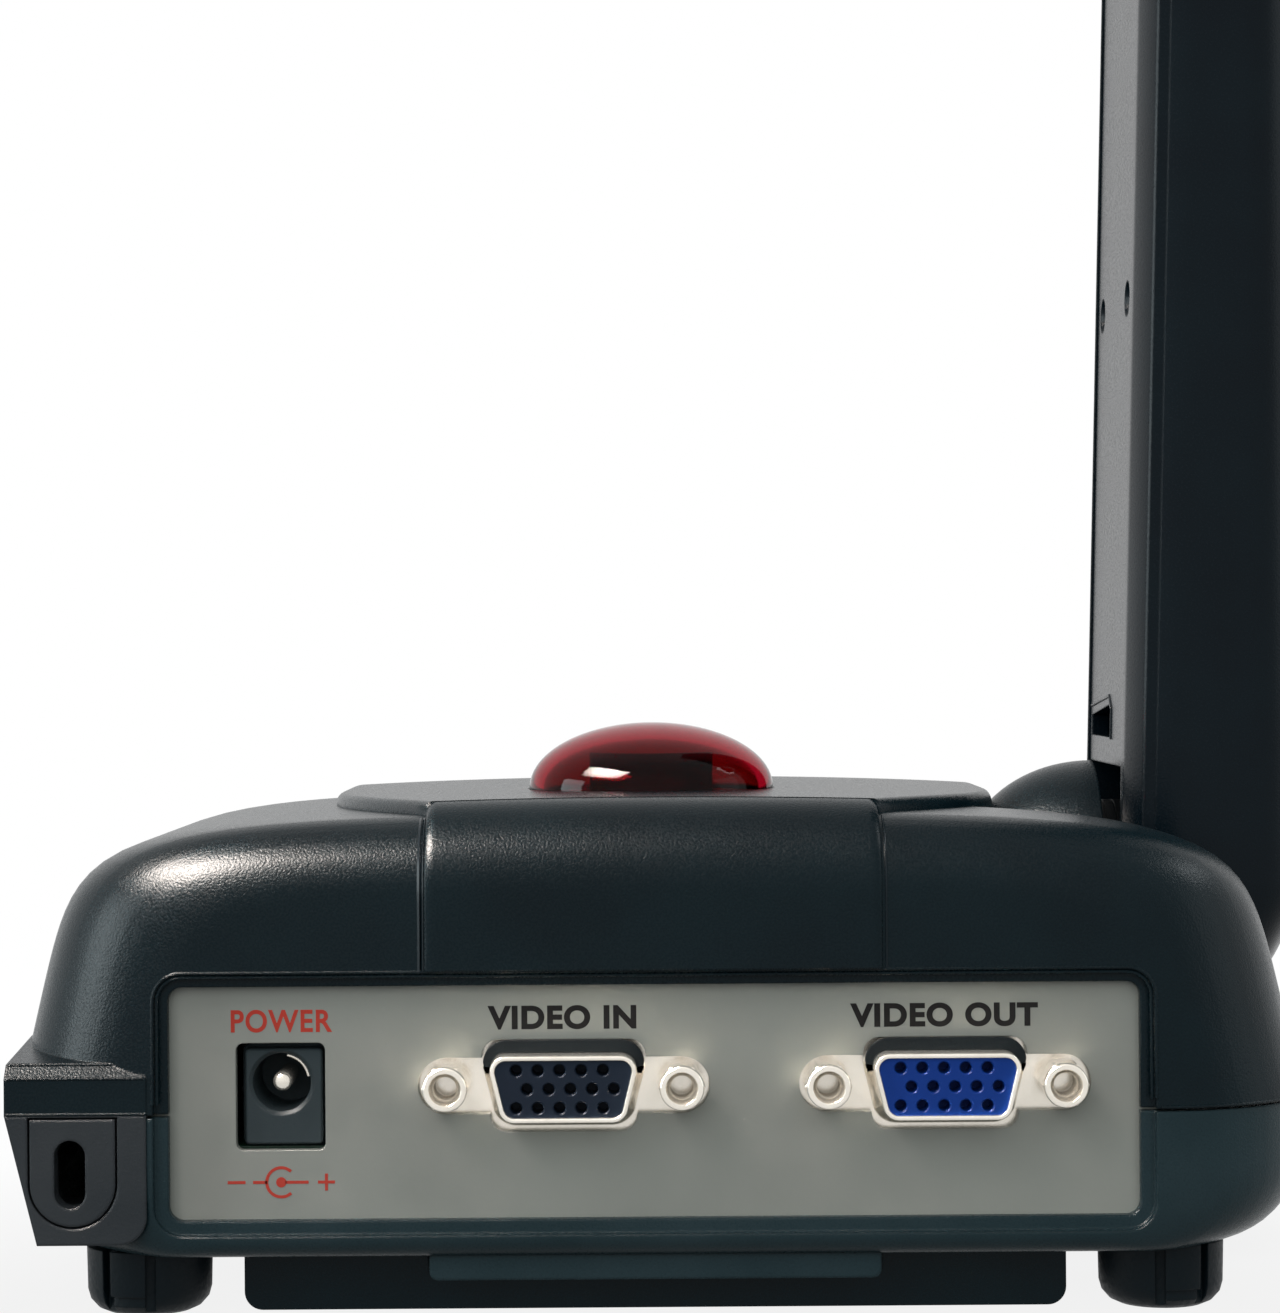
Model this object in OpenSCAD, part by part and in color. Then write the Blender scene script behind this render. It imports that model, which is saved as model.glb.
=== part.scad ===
// Portable document camera: a low base with a connector panel at the rear, and an arm on its right side
// that carries a jib and a slim camera head.
// Frame: X to the right as seen from behind, Y forward from the rear face, Z up, origin on the table.

/* [Base] */
// Length of the base from the rear face to the front
base_len = 300; // [280:5:340]
// Width of the base at the parting line
base_w = 140; // [126:1:154]
// Extra width of the base on the arm's side
arm_side_extra = 1.5; // [0:0.1:3]
// Height of the parting line above the table
split_z = 22.4; // [21.5:0.1:24]
// Height of the upper case above the parting line at the rear
case_h = 31.5; // [30:0.5:36]
// Height of the lower case above the table
clear_z = 7; // [6:0.1:8]
// Wall thickness of both case halves
wall = 2.5; // [2:0.1:3]
// Draft angle of the case sides
side_draft = 12; // [8:0.5:14]
// Drop of the top from the middle to the sides
crown = 2.8; // [2:0.1:5]
// Squareness of the shoulders in cross-section
shoulder_power = 8; // [5:0.5:10]
// Corner radius of the rear in plan
plan_r = 18; // [14:0.5:22]
// Radius of the upper rear edge
rear_r = 8; // [6:0.5:10]
// Corner radius of the front in plan
front_plan_r = 26; // [20:1:34]
// Radius of the upper front edge
front_r = 12; // [8:0.5:16]
// Radius of the lower side edges
belly_r = 9; // [6:0.5:10]
// Radius of the lower rear edge
heel_r = 2.6; // [2:0.1:4]
// Radius of the lower front edge
toe_r = 6; // [4:0.5:6]
// Step of the lower case inside the upper case at the parting line
split_step = 0.5; // [0.2:0.1:1]
// Distance from the rear face to where the top starts to fall
crest_back = 70; // [64:1:80]
// Angle of the falling top
top_slope = 4; // [3:0.25:5]

/* [Arm channel] */
// Distance from the rear face to the channel
channel_back = 32; // [30:0.5:33]
// Depth of the channel cut into the right side
channel_depth = 16; // [15:0.5:18]
// Radius of the channel corners in plan
channel_r = 4; // [2:0.5:6]
// Width of the arm rest beyond the channel wall
rest_w = 25.5; // [22:0.5:28]
// Top of the arm rest above the table
rest_top = 11.2; // [10.8:0.2:14]

/* [Deck] */
// Width of the deck where it comes up the rear face
deck_rear_w = 48.4; // [40:0.4:56]
// Width of the deck on the falling top
deck_front_w = 82; // [78:1:84]
// How much less the deck flares out on the side away from the arm
deck_skew = 3.3; // [0:0.1:4]
// Height of the deck above the case top
deck_rise = 1.5; // [1:0.1:2]
// Height of the deck above the rear face
deck_back_rise = 0.5; // [0.3:0.1:1]
// Length over which the deck flares out
deck_flare = 48; // [40:1:52]
// Distance from the front of the base to the end of the deck
deck_front_gap = 26; // [22:1:34]

/* [Infrared window] */
// Diameter of the red window
ir_d = 28.2; // [24:0.2:30]
// Height of the window above the deck
ir_h = 7.5; // [6:0.5:10]
// Distance from the rear face to the centre of the window
ir_back = 37; // [32:0.5:42]
// Wall of the window
ir_wall = 1.6; // [1.2:0.1:2]
// Width of the receiver block
ir_block_w = 13.6; // [11:0.2:15]

/* [Rear panel] */
// Distance from the visible panel to the side of the base
panel_margin = 18.5; // [18:0.1:20]
// Lower edge of the visible panel
panel_z0 = 11; // [10.8:0.1:12]
// Upper edge of the visible panel
panel_z1 = 35.8; // [35:0.1:38]
// Thickness of the panel
panel_t = 1.5; // [1.2:0.1:2]
// Width of the recessed lip around the panel
panel_lip = 1.5; // [1:0.1:2]
// Height of the connector centres above the table
conn_z = 25; // [24.6:0.1:25.5]
// Centre of the input connector across the panel
vga_in_x = -9.6; // [-11:0.1:-8]
// Distance from the right end of the panel to the centre of the output connector
vga_out_in = 20.6; // [19:0.1:21]
// Spacing of the two jack nuts of a connector
jack_spacing = 24.99; // [24.5:0.01:25.5]
// Radius of the threaded bore of a jack nut
jack_bore_r = 1.25; // [1:0.05:1.4]
// Width of the connector opening
d_w = 15.5; // [15:0.1:16.4]
// Height of the connector opening
d_h = 7.1; // [6.8:0.1:8]
// Reach of the connector shell in front of its flange
d_reach = 5.6; // [5:0.1:6]
// Distance from the left end of the panel to the centre of the power jack
dc_in = 11.8; // [10.5:0.1:13]
// Width of the power jack
dc_w = 9.1; // [8.6:0.1:9.6]
// Height of the power jack
dc_h = 11; // [10.5:0.1:11.4]
// Radius of the plug hole in the power jack
dc_hole_r = 3.1; // [2.8:0.1:3.3]
// Radius of the centre pin
dc_pin_r = 1.05; // [0.9:0.05:1.3]

/* [Security lock] */
// Width of the lock bracket
lock_w = 15; // [14:0.1:15.4]
// Lower edge of the lock bracket
lock_z0 = 8.7; // [8:0.1:9.5]
// Top of the ledge above the bracket
lock_top = 27.7; // [26:0.1:29]
// Width of the lock slot
slot_w = 3.3; // [3:0.1:3.6]
// Height of the lock slot
slot_h = 7.2; // [6.8:0.1:7.4]

/* [Underside] */
// Diameter of a foot
foot_d = 13.6; // [12:0.2:15]
// Distance of the rear feet from the middle
foot_x = 55; // [53:0.5:56]
// Thickness of a foot pad
pad_t = 1.5; // [1:0.1:2]
// Width of the block under the base
block_w = 89; // [84:1:92]
// Distance from the rear face to the block
block_back = 10; // [6:0.5:14]
// Length of the block under the base
block_len = 230; // [200:5:250]

/* [Arm] */
// Distance from the rear face to the hinge
hinge_back = 62; // [61:0.1:64]
// Height of the hinge above the table
hinge_z = 44; // [43.5:0.1:44.5]
// Radius of the hinge pin
pin_r = 4; // [3:0.1:4.5]
// Running clearance on hinge pins
run_gap = 0.05; // [0.02:0.01:0.08]
// Radius of the hinge boss on the base
boss_r = 13.4; // [12.5:0.1:14]
// Gap between the boss and the arm
hinge_gap = 1.4; // [1:0.1:2]
// Width of the arm
arm_w = 46.5; // [44:0.5:48]
// Thickness of the arm at the hinge
arm_t = 22; // [21:0.5:24]
// Length of the arm from hinge to elbow
arm_len = 218; // [200:2:226]
// Outward lean of the arm's inner face
arm_taper = 1.5; // [1:0.1:1.7]
// Depth of the rounding of the arm's inner edges
arm_edge_deep = 1.5; // [1:0.1:3]
// Width of the rounding of the arm's inner edges
arm_edge_in = 6; // [4:0.5:7]
// Rounding of the arm's outer edges
arm_outer_r = 8; // [6:0.5:9]
// Width of the arm's inner cover
cover_w = 31.5; // [28:0.5:32]
// Offset of the cover towards the front
cover_shift = 1; // [0:0.1:1.2]
// Height of the cover screws above the hinge
cover_screw_up = 69; // [60:1:80]

/* [Jib] */
// Length of the jib from elbow to head
jib_len = 126; // [110:2:150]
// Width of the jib
jib_w = 38; // [34:0.5:42]
// Thickness of the jib
jib_t = 16; // [15:0.5:18]
// Radius of the elbow knuckles
knuckle_r = 10.5; // [10:0.1:12]
// Radius of the elbow pin
elbow_pin_r = 4; // [3:0.1:5]

/* [Head] */
// Length of the camera head
head_len = 70; // [64:1:80]
// Width of the camera head
head_w = 50; // [46:0.5:56]
// Thickness of the camera head
head_t = 20; // [19:0.5:21]
// Radius of the lens barrel
lens_r = 11; // [9:0.5:12]
// Thickness of the focus ring around the barrel
ring_t = 2.6; // [2:0.1:3.2]
// Reach of the focus ring below the head
ring_reach = 1.2; // [0.8:0.1:1.6]

/* [Control panel] */
// Width of the control panel
keys_w = 64; // [60:1:66]
// Length of the control panel
keys_len = 118; // [110:2:122]
// Distance from the rear face to the middle of the panel
keys_back = 186; // [184:1:190]
// Radius of a button
key_r = 4.6; // [4:0.1:5]
// Spacing of neighbouring buttons
key_pitch = 15; // [14:0.25:16]
// Gap between a button and its hole
key_gap = 0.3; // [0.2:0.05:0.5]
// Travel of a button
key_travel = 0.9; // [0.6:0.05:1]

/* [Hidden] */
$fn = 48;
y_rear = -base_len / 2;
y_front = base_len / 2;
half_w = base_w / 2;
crest_y = y_rear + crest_back;
crest_blend = 20;
channel_run = 0.5;
same_place = 0.05;
slack = 0.2;
poke = 1;
right_angles = [0, 2, 9, 20, 33, 47, 60, 72, 81, 86.5, 89.3];
section_angles = concat(right_angles, [90], [for (k = [len(right_angles) - 1:-1:0]) 180 - right_angles[k]]);

// Panel and connectors, with depths from the rear face inwards
panel_w = base_w - 2 * panel_margin;
vga_out_x = panel_w / 2 - vga_out_in;
dc_x = -panel_w / 2 + dc_in;
panel_y = y_rear + wall;
flange_y = panel_y + panel_t;
flange_t = 0.6;
board_top = conn_z - 6.5;
board_t = 1.6;
floor_z = clear_z + wall;

// Deck and control panel
case_top_z = split_z + case_h;
deck_z = case_top_z + deck_rise;
keys_y = y_rear + keys_back;
keys_sink = 1.5;
keys_proud = 0.4;
keys_rim = 3;
flange_drop = 0.3;
flange_h = 1.5;
key_flange_top = -keys_sink - flange_drop;
mat_t = 0.8;
mat_top = key_flange_top - flange_h - key_travel - flange_drop;
keys_board_top = mat_top - mat_t;

// Hinge line and arm faces
hinge_y = y_rear + hinge_back;
channel_x = half_w - channel_depth;
arm_in_x = channel_x + hinge_gap;
arm_out_x = arm_in_x + arm_t;
elbow_z = hinge_z + arm_len;
arm_top_z = elbow_z + knuckle_r + arm_outer_r + slack;
elbow_gap = 1.5;
elbow_x = arm_out_x + knuckle_r + elbow_gap;
jib_hub_w = 14;
fork_w = arm_w - 2 * arm_outer_r - 2 * slack;
fork_t = 1.5;
fork_gap = 0.3;
lug_w = (fork_w - jib_hub_w) / 2 - fork_gap;
arm_wall = 3;
spine_deep = 7.6;
spine_x = arm_in_x + spine_deep;
spine_t = 2.5;
hub_wall = 5;
hub_r = pin_r + hub_wall;
hub_sink = 2.8;
hub_x0 = arm_in_x + hub_sink;
nut_t = 5;
nut_gap = 0.3;
nut_r = pin_r + 4.5;
nut_room = nut_t + nut_gap + 1.5;
hub_x1 = arm_out_x - arm_wall - nut_room;
bracket_in = 24;
bracket_x = channel_x - bracket_in;
bracket_t = 4;
bracket_w = 2 * boss_r + 3.2;
bracket_foot = 14;
bracket_foot_t = 3;
bracket_up = pin_r + 1.4;
pin_head = 4;
pin_out = 6;
washer_t = 1.2;
washer_gap = 0.05;

// Jib and head places along X
jib_x0 = elbow_x + knuckle_r + elbow_gap;
jib_x1 = elbow_x + jib_len;
jib_wall = 2;
head_x0 = jib_x1 + 0.6;
head_x1 = head_x0 + head_len;
head_wall = 2;
spigot_r = 6;
spigot_len = 20;
lens_x = head_x0 + head_len * 0.6;

// Places of the buttons on the control panel, in steps of the button spacing
KEYS = [["button_power", -1.5, -3], ["button_lamp", -0.5, -3], ["button_freeze", 0.5, -3],
    ["button_menu", 1.5, -3], ["button_zoom_in", -1, -1.25], ["button_zoom_out", 1, -1.25],
    ["button_up", 0, 0.5], ["button_down", 0, 2.5], ["button_left", 1, 1.5], ["button_right", -1, 1.5],
    ["button_enter", 0, 1.5]];

// Sorted list without repeats
function sorted(v) = len(v) < 2 ? v : let (p = v[floor(len(v) / 2)])
    concat(sorted([for (x = v) if (x < p - same_place) x]), [p],
        sorted([for (x = v) if (x > p + same_place) x]));

// Inset of a rounded end of radius r at distance d from the end
function end_inset(d, r) = d >= r ? 0 : r - sqrt(r * r - pow(r - max(d, 0), 2));

// Outline of the case in plan, grown by g: plain left side, and right side with the arm channel
function ends(y, g) = end_inset(y - y_rear + g, plan_r + g) + end_inset(y_front + g - y, front_plan_r + g);
function half_left(y, g) = half_w + g - ends(y, g);
function channel_half(y, g) = let (start = y_rear + channel_back + g, wide = half_w + arm_side_extra + g,
        slim = half_w + g - channel_depth, foot = start + channel_run + channel_r)
    y <= start - channel_r ? wide :
    y <= start ? wide - channel_r + sqrt(channel_r * channel_r - pow(y - start + channel_r, 2)) :
    y < foot ? slim + channel_r - sqrt(channel_r * channel_r - pow(min(foot - y, channel_r), 2)) : slim;
function half_right(y, g) = channel_half(y, g) - ends(y, g);

// Height of the top along the base: level at the rear, then a soft bend into the fall
function top_drop(y) = let (d = y - crest_y)
    d <= 0 ? 0 : d < crest_blend ? tan(top_slope) * d * d / (2 * crest_blend) :
    tan(top_slope) * (d - crest_blend / 2);
function case_top(y, g) = case_top_z + g - top_drop(y)
    - end_inset(y - y_rear + g, rear_r + g) - end_inset(y_front + g - y, front_r + g);
function case_bottom(y, g) = clear_z - g
    + end_inset(y - y_rear + g, heel_r + g) + end_inset(y_front + g - y, toe_r + g);

// Places of the cross-sections along the base
function ring_places(g) = sorted(concat(
    [for (a = [0:15:90]) y_rear - g + (plan_r + g) * (1 - cos(a))],
    [for (a = [0:30:90]) y_rear + channel_back + g - channel_r * (1 - sin(a))],
    [for (a = [0:30:90]) y_rear + channel_back + g + channel_run + channel_r * (1 - cos(a))],
    [for (k = [0:4]) crest_y + k * crest_blend / 4],
    [for (a = [0:15:90]) y_front + g - (front_plan_r + g) * (1 - cos(a))]));

// Cross-section of the upper case: drafted sides, square shoulders and a crowned top
function upper_point(y, g, a) = let (
        rise = max(case_top(y, g) - split_z, 1) * pow(sin(a), 2 / shoulder_power),
        half = (a <= 90 ? half_right(y, g) : half_left(y, g)) - rise * tan(side_draft),
        x = sign(cos(a)) * half * pow(abs(cos(a)), 2 / shoulder_power))
    [x, y, split_z + rise - crown * pow(x / half_w, 2) * rise / case_h];
function upper_ring(y, g) = [for (a = section_angles) upper_point(y, g, a)];
function upper_rings(g) = [for (y = ring_places(g)) upper_ring(y, g)];
function upper_cavity_rings(g) = [for (y = ring_places(g)) concat(upper_ring(y, g),
    [[-half_left(y, g), y, split_z - poke], [half_right(y, g), y, split_z - poke]])];

// Cross-section of the lower case: upright sides and rounded lower edges
function lower_ring(y, g, top) = let (r = belly_r + g, z = case_bottom(y, g), s = split_step,
        right = half_right(y, g) - s, left = half_left(y, g) - s)
    concat([[-left, y, top]], [for (a = [0:15:90]) [-left + r * (1 - cos(a)), y, z + r * (1 - sin(a))]],
        [for (a = [90:-15:0]) [right - r * (1 - cos(a)), y, z + r * (1 - sin(a))]], [[right, y, top]]);
function lower_rings(g, top) = [for (y = ring_places(g)) lower_ring(y, g, top)];

// Solid through a row of cross-sections
module loft(rings) {
    n = len(rings[0]);
    m = len(rings);
    sides = [for (i = [0:m - 2]) for (j = [0:n - 1]) let (a = i * n, b = a + n, k = (j + 1) % n)
        each [[a + j, a + k, b + k], [a + j, b + k, b + j]]];
    first = [for (j = [n - 1:-1:0]) j];
    last = [for (j = [0:n - 1]) (m - 1) * n + j];
    polyhedron([for (r = rings) for (p = r) p], concat(sides, [first, last]));
}

module upper_solid(g) loft(upper_rings(g));
module lower_solid(g, top) loft(lower_rings(g, top));

// Rectangle with round corners, centred
module round_rect(w, h, r) {
    square([w - 2 * r, h], center = true);
    square([w, h - 2 * r], center = true);
    for (x = [-1, 1])
        for (y = [-1, 1])
            translate([x * (w / 2 - r), y * (h / 2 - r)]) circle(r);
}

// Drawing planes: local X and Y run across and up, and the extrusion runs forward (Y) or to the right (X)
module along_y(y, depth) translate([0, y + depth, 0]) rotate([90, 0, 0]) linear_extrude(depth) children();
module along_x(x, depth) translate([x, 0, 0]) rotate([90, 0, 90]) linear_extrude(depth) children();
module rod_x(x, y, z, r, len) translate([x, y, z]) rotate([0, 90, 0]) cylinder(r = r, h = len);
module rod_y(x, y, z, r, len) translate([x, y + len, z]) rotate([90, 0, 0]) cylinder(r = r, h = len);

// Opening of the case around the rear panel: a recessed lip, the window behind it and the seat of the panel
panel_edge = 2;
module panel_window() {
    lip_r = 3;
    lip_deep = 1.2;
    mid_z = (panel_z0 + panel_z1) / 2;
    high = panel_z1 - panel_z0;
    along_y(y_rear - 2 * poke, lip_deep + 2 * poke)
        translate([0, mid_z]) round_rect(panel_w + 2 * panel_lip, high + 2 * panel_lip, lip_r);
    along_y(y_rear, wall + poke) translate([0, mid_z]) round_rect(panel_w, high, lip_r - panel_lip);
    along_y(panel_y, panel_t + poke) panel_sheet(slack);
}

// Corner that the security lock takes out of the lower case, in its own outline
lock_x1 = -half_w + plan_r - 1.7;
lock_x0 = lock_x1 - lock_w;
lock_deep = 14;
lock_lean = 3.4;
module lock_outline(g) {
    r = 3;
    polygon([[lock_x0 - g, split_z], [lock_x0 + lock_lean - g, lock_z0 - g], [lock_x1 - r, lock_z0 - g],
        [lock_x1 - r, lock_z0 + r], [lock_x1 + g, lock_z0 + r], [lock_x1 + g, split_z]]);
    translate([lock_x1 - r, lock_z0 + r]) circle(r + g);
}

// Ledge of the upper case over the security lock
module lock_ledge() {
    fall = 1.4;
    translate([lock_x0, 0, 0]) along_x(0, lock_w)
        polygon([[y_rear, split_z], [y_rear, lock_top - fall], [y_rear + fall, lock_top],
            [y_rear + plan_r, lock_top + fall], [y_rear + plan_r, split_z]]);
}

// Screw columns that join the case halves
column_r = 4;
screw_r = 1.5;
screw_grip = 11;
screw_seat = 1;
screw_head = 2;
column_in = 14;
column_front = 36;
COLUMNS = [[-half_w + column_in, y_rear + 92], [-half_w + column_in, y_front - column_front],
    [channel_x - column_in, y_rear + 112], [channel_x - column_in, y_front - column_front]];

module columns(r, z, h) for (p = COLUMNS) translate([p[0], p[1], z]) cylinder(r = r, h = h);

// Frame of the control panel: local z is zero on the case top
module on_keys()
    translate([0, keys_y, case_top_z - top_drop(keys_y)]) rotate([-top_slope, 0, 0]) children();
module keys_box(grow, z, h) on_keys() translate([0, 0, z]) linear_extrude(h)
    round_rect(keys_w + 2 * grow, keys_len + 2 * grow, 6);

// Hinge boss on the base: an oval dome round the hinge line, cut flat towards the arm
boss_len = 16;
boss_back = 14.5;
module boss() translate([channel_x, hinge_y, hinge_z]) rotate([0, -90, 0]) rotate_extrude()
    polygon(concat([[0, 0]], [for (k = [0:8]) let (d = boss_back * k / 8)
        [boss_r * sqrt(1 - pow(d / boss_len, 2)), d]], [[0, boss_back]]));

module upper_case() color([0.10, 0.13, 0.14]) difference() {
    union() {
        difference() {
            union() {
                upper_solid(0);
                lock_ledge();
            }
            difference() {
                loft(upper_cavity_rings(-wall));
                columns(column_r, split_z, case_h);
                keys_box(0, keys_board_top, wall - keys_board_top);
            }
        }
        boss();
    }
    panel_window();
    columns(screw_r, split_z - poke, screw_grip + poke);
    keys_box(slack, -keys_sink, 10);
    keys_box(-keys_rim, keys_board_top - poke, 20);
    rod_x(bracket_x + bracket_t, hinge_y, hinge_z, pin_r + slack, channel_x - bracket_x);
    translate([0, y_rear + ir_back, case_top_z - 2 * wall]) cylinder(r = ir_d / 2 - 3, h = 4 * wall);
}

tab_w = 48;
tab_h = 3;
tab_deep = 6;
tab_sink = 0.5;
post_r = 3;
post_bore_r = 1.2;
board_half = panel_w / 2 - 1.5;
board_rear_len = 28;
board_len = 120;
board_right = bracket_x - 8;
post_in = 6;
post_y0 = y_rear + 20;
post_y1 = y_rear + 118;
POSTS = [[-board_half + post_in, post_y0], [board_half - 10, post_y0],
    [-board_half + post_in, post_y1], [board_right - post_in, post_y1]];

module lower_case() color([0.09, 0.12, 0.13]) difference() {
    union() {
        difference() {
            lower_solid(0, split_z);
            difference() {
                lower_solid(-wall, split_z + poke);
                columns(column_r, clear_z, split_z - clear_z);
                for (p = POSTS) translate([p[0], p[1], clear_z])
                    cylinder(r = post_r, h = board_top - board_t - clear_z);
            }
        }
        along_y(y_rear + belly_r / 2, tab_deep) translate([0, clear_z + tab_sink - tab_h / 2])
            square([tab_w, tab_h], center = true);
    }
    panel_window();
    along_y(y_rear - poke, lock_deep + poke) lock_outline(0);
    columns(screw_r + slack, clear_z - poke, split_z);
    columns(column_r - 3 * slack, clear_z - poke, wall + screw_seat + poke);
    for (p = POSTS) translate([p[0], p[1], floor_z]) cylinder(r = post_bore_r, h = split_z);
}

module case_screws() color([0.35, 0.35, 0.36])
    for (p = COLUMNS) translate([p[0], p[1], floor_z + screw_seat]) {
        translate([0, 0, -screw_head]) cylinder(r = column_r - 4 * slack, h = screw_head);
        cylinder(r = screw_r - same_place / 2, h = split_z + screw_grip - floor_z - screw_seat);
    }

rest_x1 = channel_x + rest_w;
rest_y0 = y_rear + channel_back + channel_run + 2 * channel_r;
rest_y1 = y_front - front_plan_r;
module arm_rest() color([0.09, 0.12, 0.13]) difference() {
    r = 1.8;
    h = rest_top - clear_z;
    along_y(rest_y0, rest_y1 - rest_y0) translate([rest_x1 - (rest_w + belly_r) / 2, clear_z + h / 2])
        round_rect(rest_w + belly_r, h, r);
    lower_solid(0, split_z + poke);
}

// Plan of the deck: straight on the rear face, flaring out on the top, round at the front
function deck_half(t, skew) = deck_rear_w / 2 + ((deck_front_w - deck_rear_w) / 2 - skew) * sin(90 * t);
deck_y0 = y_rear + rear_r - 1;
deck_y1 = y_front - deck_front_gap;
nose_r = 24;
function deck_edge(skew) = concat([[deck_rear_w / 2, y_rear - 4]],
    [for (k = [0:6]) [deck_half(k / 6, skew), deck_y0 + deck_flare * k / 6]],
    [for (a = [0:15:90])
        [deck_front_w / 2 - skew - nose_r * (1 - cos(a)), deck_y1 - nose_r * (1 - sin(a))]]);
module deck_plan() {
    right = deck_edge(0);
    left = deck_edge(deck_skew);
    polygon(concat(right, [for (k = [len(left) - 1:-1:0]) [-left[k][0], left[k][1]]]));
}

module top_deck() color([0.11, 0.14, 0.15]) difference() {
    intersection() {
        translate([0, deck_rise - deck_back_rise, 0]) upper_solid(deck_rise);
        translate([0, 0, panel_z1 + 2 * (panel_lip + slack)]) linear_extrude(case_top_z) deck_plan();
    }
    upper_solid(0);
    boss();
    keys_box(slack, -2 * wall, 10);
    translate([0, y_rear + ir_back, split_z]) cylinder(r = ir_d / 2 + slack, h = 2 * case_h);
}

module key_holes(r, z, h) on_keys() for (k = KEYS)
    translate([k[1] * key_pitch, k[2] * key_pitch, z]) cylinder(r = r, h = h);

module control_panel() color([0.16, 0.18, 0.19]) difference() {
    keys_box(0, -keys_sink, keys_sink + deck_rise + keys_proud);
    key_holes(key_r + key_gap, -poke - keys_sink, 10);
}

module keypad_mat() color([0.3, 0.3, 0.32]) keys_box(-keys_rim - slack, keys_board_top, mat_t);

module keypad_board() color([0.05, 0.3, 0.15]) keys_box(0, keys_board_top - board_t, board_t);

// Push button: a domed cap with a flange that stops under the panel
module key(name) {
    cap_up = 1.1;
    top = deck_rise + keys_proud + cap_up;
    edge = 0.8;
    k = KEYS[search([name], KEYS)[0]];
    color([0.55, 0.57, 0.58]) on_keys() translate([k[1] * key_pitch, k[2] * key_pitch, 0]) rotate_extrude()
        polygon([[0, key_flange_top - flange_h], [key_r + 1.2, key_flange_top - flange_h],
            [key_r + 1.2, key_flange_top], [key_r, key_flange_top], [key_r, top - edge],
            [key_r - edge, top - 0.1], [key_r / 2, top], [0, top]]);
}

// D-shaped connector outline: wider at the top, round corners
function d_outline(w, h) = let (r = 1.7, lean = 0.9) [for (c = [[1, 1], [-1, 1], [-1, -1], [1, -1]])
    for (k = [0:4]) let (a = (c[0] > 0 ? (c[1] > 0 ? 0 : 270) : (c[1] > 0 ? 90 : 180)) + 22.5 * k)
    [c[0] * (w / 2 - r - (c[1] > 0 ? 0 : lean)) + r * cos(a), c[1] * (h / 2 - r) + r * sin(a)]];

ear_h = 6;
cut_w = d_w + 1.9;
cut_h = d_h + 2.7;
module vga_cut(x) along_y(panel_y - poke, panel_t + 2 * poke) translate([x, conn_z]) {
    polygon(d_outline(cut_w, cut_h));
    square([jack_spacing, ear_h], center = true);
    for (s = [-1, 1]) translate([s * jack_spacing / 2, 0]) circle(ear_h / 2);
}

module panel_sheet(g) {
    bottom = floor_z + 0.1;
    translate([-panel_w / 2 - panel_edge - g, bottom - g])
        square([panel_w + 2 * panel_edge + 2 * g, panel_z1 + panel_edge - bottom + 2 * g]);
}

module rear_io_panel() color([0.45, 0.46, 0.45]) difference() {
    along_y(panel_y, panel_t) panel_sheet(0);
    vga_cut(vga_in_x);
    vga_cut(vga_out_x);
    along_y(panel_y - poke, panel_t + 2 * poke) translate([dc_x, board_top + dc_h / 2])
        round_rect(dc_w + 2 * slack, dc_h + 2 * slack, 0.8);
}

// Metal shell of a connector: flange behind the panel, stepped root and D-shaped rim
shell_wall = 0.45;
shell_flange_h = 11.6;
root_gap = 0.7;
module vga_shell(x) color([0.75, 0.74, 0.70]) difference() {
    union() {
        along_y(flange_y, flange_t) translate([x, conn_z])
            round_rect(jack_spacing + ear_h, shell_flange_h, 1.5);
        along_y(flange_y - d_reach, d_reach) translate([x, conn_z]) polygon(d_outline(d_w, d_h));
        along_y(flange_y - panel_t, panel_t) translate([x, conn_z])
            polygon(d_outline(cut_w - root_gap, cut_h - 2 * root_gap));
    }
    along_y(flange_y - d_reach - poke, d_reach + flange_t + 2 * poke) translate([x, conn_z])
        polygon(d_outline(d_w - 2 * shell_wall, d_h - 2 * shell_wall));
    for (s = [-1, 1])
        rod_y(x + s * jack_spacing / 2, flange_y - poke, conn_z, jack_bore_r, flange_t + 2 * poke);
}

// Plastic insert of a connector: a D-shaped plug with 3 rows of 5 holes, and the block behind the flange
hole_pitch = 2.29;
row_pitch = 1.98;
pin_hole_r = 0.6;
pin_hole_deep = 4;
insert_sink = 0.4;
insert_back = 9;
module vga_insert(x, tone) color(tone) difference() {
    face = flange_y - d_reach + insert_sink;
    union() {
        along_y(face, flange_y + flange_t - face) translate([x, conn_z])
            polygon(d_outline(d_w - 2 * shell_wall, d_h - 2 * shell_wall));
        translate([x - d_w / 2, flange_y + flange_t, board_top])
            cube([d_w, insert_back, conn_z - board_top + shell_flange_h / 2 - 1]);
    }
    for (row = [-1, 0, 1])
        for (col = [-2:2])
            rod_y(x + (col + (row == 0 ? 0.33 : -0.17)) * hole_pitch, face - poke, conn_z + row * row_pitch,
                pin_hole_r, pin_hole_deep);
}

module vga_input_shell() vga_shell(vga_in_x);
module vga_output_shell() vga_shell(vga_out_x);
module vga_input_insert() vga_insert(vga_in_x, [0.06, 0.07, 0.08]);
module vga_output_insert() vga_insert(vga_out_x, [0.05, 0.12, 0.75]);

jack_r = 2.5;
jack_reach = d_reach - insert_sink;
module jack_nut(x) difference() {
    rod_y(x, flange_y - jack_reach, conn_z, jack_r, jack_reach, $fn = 6);
    rod_y(x, flange_y - jack_reach - poke, conn_z, jack_bore_r, jack_reach + 2 * poke);
}
module vga_jack_nuts() color([0.78, 0.77, 0.72]) for (x = [vga_in_x, vga_out_x])
    for (s = [-1, 1])
        jack_nut(x + s * jack_spacing / 2);

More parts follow.
